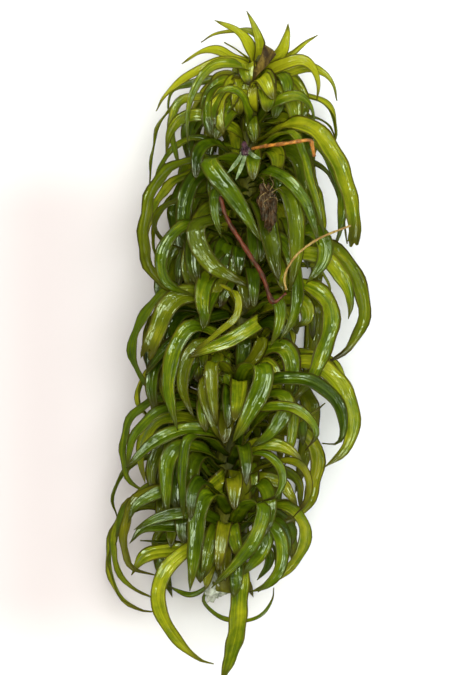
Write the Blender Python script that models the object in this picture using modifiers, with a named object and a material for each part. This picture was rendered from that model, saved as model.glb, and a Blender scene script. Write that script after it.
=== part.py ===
"""Curly waterweed, a cut shoot of Lagarosiphon major that lies on its side.

Blender 4.5, metres, +Z up. The shoot lies along Y with its growing tip at +Y, +X is its right side as
seen from above, and the surface that it lies on is at Z = 0. Run it with
blender --background --python part.py
or from Blender's text editor.
"""

import itertools
import math

import bpy
import bmesh
from mathutils import Matrix, Vector
from mathutils.bvhtree import BVHTree

# Driving dimensions
MM = 0.001
LEAF_THICKNESS = 0.35 * MM
LEAF_GAP = 0.15 * MM
ROOT_GAP = 0.35 * MM
BURIED_SHARE = 0.45
STEM_CUT_RADIUS = 2.2 * MM
STEM_TIP_RADIUS = 1.0 * MM
STEM_TAPER = 1.5
STEM_POINTS = 12
STEM_BEVEL_RESOLUTION = 1
TIP_MARGIN = 0.8

# A leaf has one straight step for about this much of its length
STEP_LENGTH = 2.85 * MM
FEWEST_STEPS = 4
MOST_STEPS = 10

# The outline of a blade, in shares of its width and its length
ROOT_WIDTH = 0.85
ROOT_END = 0.15
TAPER_START = 0.5
TAPER_POWER = 1.8
CROWN_TAPER_START = 0.2
CROWN_TAPER_POWER = 1.3
SHARP_TAPER = 0.92
BLUNT_TAPER = 0.3
FOLDED_ROOT_WIDTH = 0.15
FUNNEL_POWER = 1.7

# A leaning blade leans fully from this share of its length on, and it levels out near the surface
LEAN_FROM = 0.3
LEVEL_BELOW = 2.5 * MM

# The stem's centre line in millimetres, from the cut end to the growing tip
STEM_LINE = (
    (-1.9, -30.6, 12), (-1.1, -25.4, 12), (-0.6, -12.9, 12), (0.4, -0.4, 12),
    (1.4, 12.1, 12), (1.5, 23.4, 12.2), (1.9, 30.9, 12.3), (2.8, 37.1, 12.6),
)

# The leaves that are pieces of their own. Each row gives the name, the width, how many degrees the blade
# leans over, the height on the stem where the leaf grows, and the points that its midrib passes, all in
# millimetres.
BIG_LEAVES = (
    ("upper_left_leaf_1", 1.9, 24, 29.6, (
        (-2.8, 31.4, 10), (-6.1, 31.1, 9.5), (-9.4, 28.6, 9), (-10.6, 24.4, 8.5), (-11, 19.6, 8),
    )),
    ("upper_left_leaf_2", 1.4, 38, 28.6, (
        (-2.8, 30.9, 14.5), (-6.1, 31.1, 15), (-7.8, 29.6, 15), (-8.1, 26.5, 14.5), (-7.1, 22.1, 13),
    )),
    ("upper_left_leaf_3", 1.7, 30, 26.1, (
        (-0.6, 27.5, 16), (-4.2, 28.9, 17), (-6.9, 28.5, 16.5), (-8.4, 26.5, 15.5), (-8.9, 24, 14.5),
    )),
    ("upper_left_leaf_5", 2.4, 25, 21.9, (
        (-2.1, 23, 14.5), (-5.8, 23.2, 16), (-8.4, 22.1, 17), (-10.4, 19.6, 17.5), (-11.2, 16.4, 17.5),
        (-11.5, 13.1, 17.3), (-10.8, 10, 17), (-8.9, 7.8, 16.2), (-6.1, 6.5, 15.3), (-2.9, 6, 14.5),
    )),
    ("upper_left_leaf_8", 1.6, 20, 17.1, (
        (-2.1, 18.6, 14.5), (-5.2, 18.8, 15.5), (-8.1, 18, 16), (-9.9, 16.5, 16), (-10.2, 14.9, 16),
        (-8.9, 13.2, 15.5), (-6.1, 12, 14.5),
    )),
    ("upper_left_leaf_9", 1.9, 36, 13.4, (
        (-1.9, 14.6, 16.4), (-5.6, 15.4, 19.5), (-7.8, 14.2, 20.5), (-9.2, 12, 20.5), (-9.4, 9.6, 20.3),
        (-8.2, 7.6, 19.8), (-4.4, 6.1, 18.5),
    )),
    ("upper_left_leaf_10", 2.4, 30, 15.1, (
        (-1.5, 15.9, 20), (-4.6, 15.4, 22), (-5, 13.4, 22.5), (-3.1, 10.2, 22), (1.6, 7.4, 20.5),
    )),
    ("upper_left_leaf_11", 2.4, 0, 21.9, (
        (-0.6, 24, 19.5), (-3.4, 23.9, 22), (-2.6, 22.1, 23), (-0.1, 18.9, 23.5), (3.1, 13.6, 22.5),
    )),
    ("upper_left_leaf_12", 1.4, 30, 18, (
        (-1.4, 19, 17.6), (-3.5, 18.8, 18.8), (-3.9, 16.9, 19.2), (-3.6, 14.9, 19.2), (-3, 12.9, 18.9),
    )),
    ("upper_right_leaf_1", 1.9, 30, 29.4, (
        (6, 31.1, 10), (9.5, 31.2, 9.5), (11.6, 29.9, 9), (12.4, 27.1, 8.5), (12, 25.1, 8),
    )),
    ("upper_right_leaf_3", 2.6, 20, 25.9, (
        (6, 27.6, 17), (8.9, 27.5, 18.5), (11.1, 25.4, 19), (12.9, 22.1, 18.5), (14, 18.4, 18),
        (14.5, 15.4, 17.5), (14.4, 12.9, 17),
    )),
    ("upper_right_leaf_6", 1.6, 0, 24.6, (
        (4.8, 26.9, 19.5), (7.1, 27.1, 21), (8.2, 24.6, 21.5), (9.2, 20.9, 21.5), (10.2, 17.4, 21),
        (10.9, 14.4, 20),
    )),
    ("upper_right_leaf_7", 1.6, 0, 21.9, (
        (3.6, 23.1, 20), (5.6, 22.5, 22), (7.8, 20.4, 22.8), (9.1, 17.8, 22.5), (10.2, 13.9, 21),
    )),
    ("upper_right_leaf_8", 2.4, 0, 18.4, (
        (3.9, 20.1, 19.2), (5.8, 20.2, 21.7), (6.9, 18.4, 22.7), (7.4, 14, 22.9), (7.1, 10.2, 22.5),
        (6.5, 7.4, 21.5),
    )),
    ("left_leaf_1", 2.1, 24, 5.9, (
        (-4, 7.5, 13), (-8.2, 7.4, 13.5), (-10.8, 5, 14), (-12.6, 1.8, 14), (-13.1, -0.8, 14),
        (-12.4, -2.8, 13.5), (-11.1, -4.9, 13), (-9.2, -6.2, 12.5),
    )),
    ("left_leaf_2", 2.6, 40, 4.9, (
        (-2.8, 6.6, 17.5), (-6.6, 7.2, 19), (-8.8, 5.4, 19.5), (-10.2, 2.1, 19), (-11.4, -0.9, 18),
    )),
    ("left_leaf_3", 2.3, 0, 3.1, ((-1.5, 4.1, 15), (-5, 2.8, 16), (-9, -0.4, 16), (-11.5, -3.5, 15))),
    ("left_leaf_4", 1.0, 0, 4.6, (
        (-0.9, 6.9, 20), (-1.8, 7.6, 22), (0, 6.4, 23), (-0.1, 3.9, 23), (-2.4, 1.8, 22.5),
        (-5.9, -1, 21),
    )),
    ("left_leaf_5", 2.0, 0, 1.9, (
        (2.6, 3.1, 19), (1.6, 2.4, 21), (-0.9, 0.9, 21), (-3.6, -0.2, 20.5), (-6.1, -1.4, 19.5),
    )),
    ("left_leaf_6", 2.2, 30, -0.4, (
        (-2.5, 1.6, 18), (-5.6, 2.5, 19.5), (-7.5, 0.2, 19.5), (-8.5, -3.9, 19), (-8.2, -7.2, 18.5),
        (-7.4, -10.4, 18),
    )),
    ("right_leaf_1", 2.5, 27, 10.6, (
        (6.6, 12.6, 12.5), (11, 12.6, 13), (13.8, 10.4, 13.5), (15.5, 6.5, 13.5), (15.6, 3.4, 13.5),
        (13.9, 0, 13), (10.9, -2.2, 12.5),
    )),
    ("right_leaf_2", 2.3, 28, 9, (
        (6.6, 11.5, 17), (10.6, 11.2, 17.5), (13.2, 8.4, 17), (14.1, 5.6, 16.5), (13.9, 3.5, 16),
    )),
    ("right_leaf_4", 2.2, 62, 11.5, (
        (6, 13.6, 16.5), (9.2, 14.6, 17.5), (10.9, 12.9, 18), (10.6, 10.4, 18), (8.6, 7.9, 17.5),
    )),
    ("right_leaf_5", 2.6, 32, 5.9, (
        (5.1, 7.5, 17.2), (8.6, 7.6, 18.8), (11, 5.9, 19.5), (11.6, 3.1, 19.5), (10.6, -0.4, 19.2),
        (9.1, -3.9, 18.4), (6.4, -7.4, 17),
    )),
    ("right_leaf_6", 2.4, 30, 2.1, (
        (3.9, 3.9, 17.2), (6.6, 4.9, 18.6), (8.5, 3.9, 19.2), (8.6, 2.1, 19.2), (6.9, 1.1, 18.8),
    )),
    ("right_leaf_7", 1.9, 60, 12.1, (
        (4.1, 13.5, 19), (5.9, 13, 20.4), (7.1, 10.4, 21.2), (7.6, 7.1, 21.4), (7, 3.6, 21.1),
        (5.2, 0.6, 20.4),
    )),
    ("right_leaf_8", 2.8, 0, 15.2, (
        (2.2, 16.9, 18.5), (3.1, 16.4, 20), (3.9, 13.6, 20.8), (4.6, 9.9, 20.8), (5.2, 6.9, 20),
    )),
    ("middle_leaf_3", 2.6, 0, -4.8, (
        (1.4, -2.6, 20), (3.1, -2.4, 22), (3.1, -4.6, 22.5), (1.5, -8.1, 22.3), (-0.6, -12, 21),
    )),
    ("middle_leaf_4", 2.1, 30, -7.9, (
        (3.1, -6.1, 18.5), (5.8, -6.1, 20), (6, -7.9, 20.3), (4.1, -10.8, 20), (1.6, -12.6, 19),
    )),
    ("lower_left_leaf_2", 2.1, 19, -8.1, (
        (-4.6, -6.5, 11.5), (-8.8, -6.4, 11.5), (-11.9, -7.6, 11), (-13.6, -9.8, 11), (-14.1, -12.5, 11),
        (-14, -15.1, 10.8), (-12.9, -17.2, 10.5), (-9.6, -19, 10),
    )),
    ("lower_left_leaf_3", 2.0, 20, -9.4, (
        (-5.2, -7.4, 15), (-9.1, -7.8, 15.5), (-11.9, -9.9, 15.5), (-13.4, -12.8, 15), (-13.6, -16, 14.5),
    )),
    ("lower_left_leaf_5", 1.9, 32, -11.6, (
        (-3.6, -10.4, 16.8), (-7.1, -10.4, 17.2), (-10.6, -12.1, 17.2), (-13.8, -15.1, 16.5),
    )),
    ("lower_left_leaf_6", 1.9, 0, -12.2, (
        (-3.4, -10.4, 19.2), (-5.5, -9.9, 20.6), (-6.5, -11.6, 21), (-6.8, -15.4, 20.8),
        (-6.6, -20.4, 19.5),
    )),
    ("lower_left_leaf_7", 2.2, 30, -14.4, (
        (-4, -12.9, 16.5), (-6.9, -12.4, 18), (-8.4, -13.9, 18.3), (-8.8, -17.2, 18), (-8.6, -20.9, 17),
    )),
    ("lower_left_leaf_9", 1.9, 27, -18.1, (
        (-5.9, -16.9, 12), (-10.9, -17.5, 12), (-14.1, -20.4, 11.5), (-15.2, -24.8, 10.5),
    )),
    ("lower_right_leaf_1", 2.6, 38, -4.8, (
        (5.1, -2.5, 14), (9.2, -2, 15), (12.1, -3.9, 15.5), (13.9, -7.2, 15.5), (14.2, -10.6, 15.3),
        (13.1, -13.1, 15), (10.8, -15.1, 14.5),
    )),
    ("lower_right_leaf_3", 1.9, 22, -6, (
        (4.4, -4.2, 17.3), (8.2, -4, 18.3), (11.1, -5.4, 18.5), (12.8, -7.6, 18.3), (13.2, -10.1, 17.9),
        (12.4, -12, 17.5), (10.6, -12, 17.2),
    )),
    ("lower_right_leaf_5", 1.5, 16, -9.1, (
        (3.1, -7.6, 19.2), (6.6, -7.5, 21.2), (8.8, -8.8, 21.4), (9.8, -10.8, 21.2), (8.5, -12.9, 20.8),
    )),
    ("lower_right_leaf_7", 2.3, 33, -14.1, (
        (3.1, -11.6, 13.5), (6.6, -10.4, 14.5), (9, -11.5, 14.8), (10, -13.8, 14.8), (9.5, -16.9, 14.8),
        (8.8, -19.4, 14.3), (7.1, -21.2, 13.8), (4.1, -22.5, 13.5),
    )),
    ("lower_right_leaf_8", 1.6, 60, -11.6, (
        (3.1, -8.6, 17.4), (5.9, -6.9, 18.3), (7, -8.1, 18.6), (6.8, -11.2, 18.4), (6.4, -13, 18),
        (5.9, -14.9, 17.4),
    )),
    ("lower_right_leaf_9", 1.5, 20, -15.1, (
        (1.1, -13.6, 19.5), (3.4, -13.4, 20.8), (5.1, -14.6, 21.2), (5.6, -16.8, 21), (4.8, -18.5, 20.7),
        (3.1, -19.2, 20.3),
    )),
    ("end_left_leaf_1", 2.1, 22, -22.9, (
        (-5.9, -21, 7.5), (-11.5, -20.1, 6.5), (-14.8, -21.9, 6), (-16.1, -26.6, 5.5), (-14.8, -31.1, 5),
        (-11.8, -33.1, 4.6), (-9.8, -33.1, 4.2),
    )),
    ("end_left_leaf_2", 2.3, 28, -21.6, (
        (-5.9, -19.6, 10), (-11.1, -18.9, 10), (-14.2, -20.6, 9.8), (-15.4, -25.4, 9.4),
        (-13.8, -29.5, 9), (-10.2, -31.6, 8.5),
    )),
    ("end_left_leaf_3", 2.0, 25, -20.6, (
        (-5.2, -18.5, 14.5), (-10.2, -17.9, 15), (-12.9, -19.6, 15), (-14, -23.9, 14.8),
        (-13.1, -27.4, 14.3), (-9.9, -28.6, 13.5),
    )),
    ("end_left_leaf_8", 2.0, 30, -26.6, (
        (-4, -24.8, 17), (-6.6, -25.6, 18.5), (-9, -28.1, 19), (-9.8, -31.6, 18), (-8.1, -35.6, 16),
        (-5, -38.8, 14), (-2.9, -39.6, 13),
    )),
    ("end_left_leaf_9", 2.3, 0, -20.6, (
        (-2.4, -18.6, 19.4), (-3.9, -18.6, 21.2), (-4.8, -21, 21.8), (-5.2, -25.4, 21.2),
        (-5.9, -30.4, 19.6),
    )),
    ("end_left_leaf_11", 0.8, 30, -28.9, (
        (-3.6, -30.1, 10), (-4.1, -31.9, 9.5), (-1.9, -33.8, 9.5), (1, -34.2, 9.7), (3.1, -33.4, 10),
        (4.4, -31.6, 10.3), (4.6, -30.1, 10.5),
    )),
    ("end_right_leaf_1", 2.1, 25, -21, (
        (3.5, -19.5, 13), (6.5, -19.4, 13.7), (8.1, -21.2, 14), (8.4, -23.6, 13.8), (7.5, -25.6, 13.5),
        (5.5, -27.8, 13), (2.6, -30, 12.5),
    )),
    ("end_right_leaf_2", 1.8, 40, -23.1, (
        (1.9, -21.6, 17), (4.1, -22.1, 18.5), (5.5, -24.5, 19), (5.4, -27.2, 18.7), (3.9, -29.5, 18),
        (1.6, -30.6, 17),
    )),
    ("end_right_leaf_4", 2.0, 0, -21.4, (
        (1.1, -19.1, 20.5), (3.1, -19.1, 22), (3, -21.2, 22.5), (1.1, -24.9, 21.8), (-3.2, -29.4, 19.5),
    )),
    ("end_right_leaf_5", 1.9, 30, -24.8, (
        (1.9, -22.9, 17.5), (3.6, -23.1, 18.5), (3.1, -25.4, 18.5), (0.5, -28.6, 17.3),
    )),
    ("end_right_leaf_7", 2.4, 0, -27.9, (
        (-0.1, -26.6, 16), (0.4, -28.5, 17.5), (0.2, -31.6, 17), (-0.1, -35.4, 14.5), (-1, -39.1, 11.5),
        (-2, -42.1, 9),
    )),
)

# The names of the leaves of the tip start like this
CROWN_NAME = "crown_leaf"

# The young leaves of the tip and the smaller leaves between the big ones, written in the same way. They
# are one piece with the stem.
YOUNG_LEAVES = (
    ("crown_leaf_m", 2.5, 0, 27.6, (
        (0.9, 29.6, 17.8), (0.1, 31.6, 20), (-1.1, 33.1, 21), (-2.9, 33.1, 20.5), (-4.2, 31.8, 19),
    )),
    ("crown_leaf_k", 1.6, 30, 33.6, (
        (-0.1, 34.6, 17), (-2.6, 34.6, 17.5), (-4.5, 32.9, 17.5), (-5.8, 30.2, 17.5), (-6.2, 27.1, 16.5),
        (-6.1, 24.5, 15.5),
    )),
    ("crown_leaf_o", 2.2, 0, 28.6, (
        (3.1, 30.2, 16.5), (4.9, 31.8, 18.5), (7.5, 32.5, 18.8), (9.2, 31.1, 18), (9.6, 29, 16.5),
        (9.4, 27.1, 15),
    )),
    ("crown_leaf_j", 1.9, 0, 34.4, (
        (-0.6, 35.5, 15.5), (-4, 34.8, 16), (-7.1, 33.1, 15), (-9.1, 31.2, 13.5), (-10.1, 29.5, 12),
    )),
    ("crown_leaf_i", 2.1, 0, 34.9, (
        (-0.2, 35.9, 13.5), (-2.4, 37, 14), (-4.6, 36.8, 13.5), (-6.9, 35.4, 12),
    )),
    ("crown_leaf_g", 1.9, 30, 33.9, (
        (5.4, 35.1, 15), (7.9, 35.8, 15.5), (9.4, 34.9, 15), (10.1, 32.9, 14), (10, 30.8, 12.5),
    )),
    ("crown_leaf_a", 1.5, 0, 35.6, ((2.8, 37.8, 14.5), (2.2, 39.9, 15), (1.2, 42, 14))),
    ("crown_leaf_b", 2.0, 0, 35.6, ((1.2, 38.1, 15), (-0.1, 39.5, 15.5), (-2.8, 40.8, 14.5))),
    ("crown_leaf_c", 1.1, 30, 35.6, (
        (3.1, 37.9, 12.8), (1.8, 39.4, 13.2), (-0.1, 39.5, 12.8), (-2.8, 39.1, 12), (-4.5, 38.1, 11),
    )),
    ("crown_leaf_d", 1.1, 30, 35.4, ((0.1, 37.1, 11.5), (-1.6, 38.1, 11))),
    ("crown_leaf_e", 2.4, 0, 35.1, ((5.4, 36.9, 14), (6.1, 38.6, 14.5), (6.4, 40.4, 13.5))),
    ("crown_leaf_f", 1.6, 0, 34.6, ((6, 36.1, 12), (8.1, 37.8, 12), (10.1, 39, 11))),
    ("crown_leaf_h", 1.8, 30, 33.1, (
        (6, 34.1, 13), (8.8, 34.9, 13), (10.8, 34.2, 12.5), (12, 32.8, 12), (12.5, 30.8, 11),
    )),
    ("crown_leaf_l", 1.5, 30, 32.6, (
        (-2.8, 33.4, 11), (-5.9, 32.9, 10.5), (-8, 32.1, 10), (-8.6, 30, 9), (-8.1, 28.1, 8.5),
    )),
    ("crown_leaf_n", 2.5, 30, 30.4, (
        (-0.2, 31.9, 13), (-2.8, 32.4, 13.5), (-4.6, 31.1, 13), (-5.9, 29, 12),
    )),
    ("crown_leaf_p", 1.8, 30, 28.4, (
        (3.9, 30.4, 15), (5.9, 31.1, 15.5), (7.2, 29.6, 15), (7.9, 26.5, 13.5),
    )),
    ("upper_left_leaf_4", 1.5, 32, 24.6, (
        (-2.4, 25.4, 12), (-5.9, 26, 11.5), (-8.9, 23.6, 11), (-10.6, 19.6, 10),
    )),
    ("upper_left_leaf_6", 2.0, 20, 20.9, (
        (-2.8, 21.8, 12), (-6.8, 21.2, 12), (-9.4, 19, 11.5), (-10.9, 15.6, 11), (-11.4, 12.4, 10.5),
        (-10.6, 9.4, 10),
    )),
    ("upper_left_leaf_7", 1.9, 20, 19, (
        (-3.9, 20, 10), (-7.8, 19, 9), (-9.9, 16.4, 8.5), (-10.5, 13.1, 8), (-9.8, 9.9, 7.5),
    )),
    ("upper_right_leaf_2", 1.6, 30, 27.1, (
        (6, 28.6, 9), (9.4, 28.8, 8.5), (11.4, 27.9, 8), (12.4, 26.1, 7.5),
    )),
    ("upper_right_leaf_4", 1.7, 30, 21.5, (
        (6.6, 23.4, 10), (11, 22.1, 9.5), (12.9, 18.1, 9.5), (13.8, 12.9, 9),
    )),
    ("upper_right_leaf_5", 1.9, 30, 24.6, (
        (6.4, 26.6, 13.5), (9.8, 26.1, 14), (12, 23.1, 14), (13, 19.4, 13.5), (12.8, 15.1, 12.5),
        (11.8, 12.5, 12),
    )),
    ("upper_right_leaf_9", 1.9, 26, 19.6, (
        (6, 21.1, 13), (8.9, 20.4, 13), (10.2, 17.8, 12.5), (10.6, 14.9, 12), (10.2, 12.4, 11),
    )),
    ("left_leaf_7", 1.8, 30, -2.9, (
        (-1.9, -1, 18.5), (-4.4, -0.2, 20), (-6.1, -1.9, 20), (-6.8, -4.8, 19.5), (-6.2, -7.6, 18.5),
        (-5.2, -9.6, 18),
    )),
    ("right_leaf_3", 1.6, 30, 7.8, ((6.6, 9.9, 10.5), (9.9, 9.9, 10), (11.4, 8, 10), (11.6, 5.9, 9.5))),
    ("right_leaf_9", 1.7, 25, 3.6, (
        (3.1, 5.4, 20), (4.8, 5.8, 21.8), (5.4, 4.4, 22.2), (5, 2.1, 21.8), (4.1, -0.1, 20.8),
    )),
    ("right_leaf_10", 2.4, 60, -2.9, (
        (3.1, -0.6, 15.5), (5.6, 0, 17), (6.8, -1.8, 17), (6.6, -4.8, 16.8), (6.1, -6.9, 16),
    )),
    ("middle_leaf_1", 1.8, 0, -4.8, (
        (-1.9, -2.9, 18.5), (-3.1, -2.6, 20), (-3.1, -4.8, 20.5), (-2.9, -7.6, 20.5), (-2.5, -10.5, 19.5),
    )),
    ("middle_leaf_2", 1.6, 30, -6.6, (
        (-3, -4.9, 17.5), (-5, -4.6, 19), (-5.5, -6.4, 19.3), (-4.2, -10.1, 19), (-2.4, -13.1, 18),
    )),
    ("lower_left_leaf_1", 1.8, 33, -3.1, (
        (-4.6, -1.9, 10), (-9.2, -2.1, 9.5), (-11.8, -4.2, 9), (-12.4, -6.6, 8.5), (-11.4, -8.4, 8.5),
        (-9.4, -9.2, 8),
    )),
    ("lower_left_leaf_4", 2.1, 40, -10.9, (
        (-5.2, -9.1, 13), (-8.9, -8.9, 13.3), (-11, -10.6, 13.3), (-12, -13.6, 13), (-11.5, -17, 12.5),
    )),
    ("lower_left_leaf_8", 1.9, 23, -16.4, (
        (-5.2, -14.9, 8), (-10.9, -14.4, 7), (-14.2, -16.4, 6.5), (-15.6, -19.5, 6), (-15, -22, 5.5),
    )),
    ("lower_left_leaf_10", 1.7, 30, -19.8, (
        (-4.6, -18.8, 15), (-9, -19.1, 15.5), (-12.4, -20.8, 15.3), (-13.6, -23.1, 14.5),
    )),
    ("lower_right_leaf_2", 2.3, 20, -3.1, (
        (6, -1.1, 10.5), (10.1, -0.9, 10), (12.8, -2.8, 9.7), (14.4, -6.9, 9.3), (14.6, -10.4, 9),
    )),
    ("lower_right_leaf_4", 1.4, 35, -8.5, (
        (4.1, -9.1, 15.5), (7.6, -8.6, 17), (9.4, -7.6, 17), (11, -6.4, 16.3),
    )),
    ("lower_right_leaf_6", 1.8, 25, -12.6, (
        (2.2, -11.1, 17), (4.6, -10.9, 18), (6.8, -11.8, 18), (8.2, -13.2, 17.5),
    )),
    ("lower_right_leaf_10", 1.7, 45, -17.9, (
        (2.6, -16.4, 15), (5.4, -16.9, 15.7), (6.6, -18.4, 15.5), (7.6, -20, 14.8),
    )),
    ("lower_right_leaf_11", 1.5, 16, -16.6, (
        (3.1, -14.4, 17.5), (6.4, -13.6, 19), (8.2, -14.4, 19.3), (8.9, -16.6, 19.3), (8.4, -18.9, 18.5),
        (7, -20.6, 18),
    )),
    ("end_left_leaf_4", 1.6, 30, -21.6, ((-4.6, -20.1, 17.5), (-9, -20.4, 18), (-12.9, -22.2, 17.3))),
    ("end_left_leaf_5", 1.6, 30, -24.1, (
        (-4, -22.9, 14.5), (-7.4, -22.5, 15), (-11.4, -22.6, 15), (-13.4, -24.5, 14.5),
    )),
    ("end_left_leaf_6", 1.1, 30, -26, ((-4.6, -24.8, 11.5), (-9, -24.4, 11.7), (-12.1, -24.2, 11.7))),
    ("end_left_leaf_7", 2.5, 30, -26.6, (
        (-4.6, -25.1, 13), (-8.4, -24.9, 13), (-11.5, -25.6, 12.8), (-13.2, -27.9, 12.3),
    )),
    ("end_left_leaf_10", 1.5, 0, -26.6, ((-2.9, -26, 14.5), (-3.6, -27.2, 15), (-3.9, -29.1, 14.5))),
    ("end_left_leaf_12", 0.9, 30, -28.5, ((-4, -30.1, 11), (-6.1, -30.9, 10.8), (-8.6, -29.9, 10.3))),
    ("end_right_leaf_3", 2.3, 65, -22.6, (
        (2.9, -21.1, 9.5), (5.5, -21.4, 9), (6.8, -23.2, 8.8), (6.5, -25.4, 8.5),
    )),
    ("end_right_leaf_6", 1.5, 30, -25.4, (
        (1.9, -24.1, 15), (3.8, -24.5, 15.7), (3.8, -26.2, 15.5), (2.5, -27.9, 15),
    )),
    ("middle_leaf_0", 2.3, 0, -0.6, ((2.1, 0.8, 16), (3.1, 0.1, 17), (1.9, -2, 17.2), (-0.1, -4.1, 16.6))),
    ("torn_leaf_1", 3.0, 0, -15.4, ((-1.5, -16.1, 16.4), (-2.6, -17, 16.8), (-3.6, -18, 16.4))),
    ("torn_leaf_2", 3.0, 0, -16.8, ((0.8, -17.5, 16.2), (1.1, -18.5, 16.4), (1.1, -19.5, 16))),
)

# The short inner leaves stand in a spiral round the stem
INNER_LEAF_COUNT = 38
INNER_LEAF_TURN = 137.5
INNER_LEAF_WIDTH = 1.9
INNER_LEAF_START = -28.0
INNER_LEAF_END = 33.0
INNER_LEAF_CURL = ((2.0, 1.6), (4.6, 2.6), (6.6, 1.0), (7.0, -2.4))
INNER_LEAF_LOWEST = 1.0
INNER_LEAF_TILT = 45
YOUNG_FROM = 0.8
YOUNG_SHRINK = 0.35

# The leaves under the stem, pressed flat on the surface. Each row gives the height on the stem, how far
# the leaf stands out to the side, and how far its tip lies back along the surface and to the side.
FLOOR_LEAVES = (
    (32.0, 3.0, 8.0, 0.5), (29.5, -4.5, 8.5, -1.0), (27.0, 6.5, 9.0, 1.0), (24.0, -2.0, 9.0, 2.0),
    (21.5, -7.5, 10.0, 0.0), (19.0, 3.5, 9.5, -1.5), (16.0, 8.0, 10.5, 0.5), (13.0, -4.0, 10.0, 1.0),
    (10.0, -8.5, 10.5, 1.0), (7.0, 1.0, 10.0, 1.5), (4.5, 8.5, 11.0, -1.0), (1.5, -3.0, 10.5, -1.0),
    (-1.5, -9.0, 11.0, 0.5), (-4.5, 4.0, 10.5, 1.5), (-7.5, 9.0, 11.0, -1.5), (-10.5, -1.5, 10.0, -2.0),
    (-13.5, -8.5, 11.0, 1.0), (-16.5, 5.0, 10.5, -0.5), (-19.5, -4.5, 10.0, 0.5), (-21.5, 7.0, 6.0, 1.0),
    (-25.5, -8.0, 6.0, 1.0), (-27.5, 1.5, 4.0, 2.0),
)
FLOOR_LEAF_WIDTH = 2.4

# The bend of such a leaf: shares of the three distances above, then millimetres forward and up
FLOOR_LEAF_BEND = (
    (0.35, 0.0, 0.0, 1.8, 7.6), (0.8, 0.0, 0.0, 2.4, 3.8), (1.0, 0.0, 0.0, 1.2, 0.7),
    (1.05, 0.0, 0.0, -1.5, 0.1), (1.05, 0.6, 0.6, 0.0, 0.1), (1.0, 1.0, 1.0, 0.0, 0.1),
)

# A leaf that would touch another is moved by the smallest of these steps that clears it: millimetres up,
# millimetres along the stem, degrees round the stem, and millimetres up at its tip alone
LIFTS = (0.0, 0.5, -0.5, 1.0, -1.0, 1.5, -1.5, 2.2, -2.2)
SLIDES = (0.0, 0.6, -0.6, 1.2, -1.2)
TURNS = (0, 6, -6, 12, -12)
TIP_LIFTS = (0.0, 1.2, -1.2)
TURN_COST = 0.3
TIP_COST = 0.6


def nudge_size(nudge):
    """How far a nudge moves a leaf, as a rough measure in millimetres."""
    lift, slide, turn, tip = nudge
    return abs(lift) + abs(slide) + TURN_COST * abs(turn) + TIP_COST * abs(tip)


NUDGES = sorted(itertools.product(LIFTS, SLIDES, TURNS, TIP_LIFTS), key=nudge_size)

# The leaves that end in a torn or broken edge
BLUNT_LEAVES = ("upper_right_leaf_3", "left_leaf_2", "torn_leaf_1", "torn_leaf_2", "broken_leaf")

# Thread-like stalks of spent flowers, and how thick they are
STALKS = (
    ("orange_flower_stalk", 0.27, (
        (1.9, 24.7, 20.2), (3.6, 25.0, 22.6), (6.0, 25.3, 23.9), (8.9, 25.7, 23.9), (9.3, 25.1, 23.8),
        (9.6, 23.7, 23.4),
    )),
    ("red_flower_stalk", 0.32, (
        (-2.1, 18.7, 23.2), (-1.2, 15.9, 23.9), (1.0, 12.3, 24.4), (3.1, 9.0, 24.0), (4.4, 5.7, 23.6),
        (6.1, 6.7, 23.9),
    )),
    ("straw_flower_stalk", 0.17, (
        (14.1, 15.1, 20.4), (10.4, 13.6, 23.6), (7.9, 11.9, 25.3), (6.5, 10.2, 25.0), (5.9, 8.6, 24.4),
        (6.1, 7.1, 23.9),
    )),
)
STALK_COLOURS = (((0.55, 0.2, 0.03), 0.6), ((0.3, 0.06, 0.03), 0.6), ((0.5, 0.3, 0.1), 0.6))
STALK_ROOT_SHARE = 0.8
STALK_BEVEL_RESOLUTION = 1

# The spent flower is a knot with two withered strips. The rows give where a strip's midrib passes.
FLOWER_PLACE = (1.0, 24.5, 19.9)
FLOWER_HALF_SIZE = (0.55, 0.9, 0.6)
FLOWER_LOBES = 3
FLOWER_STRIP_WIDTH = 0.5
FLOWER_STRIP_STEPS = 3
FLOWER_STRIPS = (
    ((0.8, 24.4, 19.7), (0.1, 23.2, 21.0), (-1.2, 21.6, 21.8)),
    ((1.1, 24.2, 19.7), (0.6, 22.6, 21.2), (-0.2, 20.7, 21.9)),
    ((1.3, 24.4, 20.1), (2.1, 23.8, 21.4), (3.0, 23.4, 21.9)),
)

# Lumps of dead matter: brown on the leaves, and pale on the cut end of the stem
BROWN_PLACE = (3.85, 17.3, 23.3)
BROWN_HALF_SIZE = (1.2, 2.9, 0.7)
BROWN_LOBES = 2
BROWN_TAPER = 0.55
PALE_PLACE = (-2.6, -29.6, 13.2)
PALE_HALF_SIZE = (1.3, 2.0, 0.9)
PALE_LOBES = 3
LUMP_SUBDIVISIONS = 2
LOBE_DEPTH = 0.22
LOBE_PHASE = 0.7
WRINKLE_DEPTH = 0.1
WRINKLES_UP = 5
WRINKLES_ROUND = 2

# The leaf at the tip that has withered and folded, and the one that is broken off short
WITHERED_LEAF = ("withered_leaf", 2.3, 0, 32.6, ((2.2, 33.8, 15.4), (3.3, 35.5, 17.0), (4.3, 37.1, 17.6)))
BROKEN_LEAF = ("broken_leaf", 1.5, 0, 29.4, ((1.9, 29.9, 17.2), (1.9, 31.0, 18.6), (1.9, 32.4, 19.0)))

# The colour and the roughness of each material
LEAF_GREEN = ((0.09, 0.19, 0.02), 0.3)
LEAF_PALE = ((0.3, 0.4, 0.14), 0.4)
WITHERED_BROWN = ((0.09, 0.04, 0.015), 0.7)
STEM_GREEN = ((0.12, 0.2, 0.03), 0.35)
FLOWER_PURPLE = ((0.05, 0.02, 0.03), 0.6)
MATTER_BROWN = ((0.06, 0.03, 0.012), 0.8)

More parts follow.
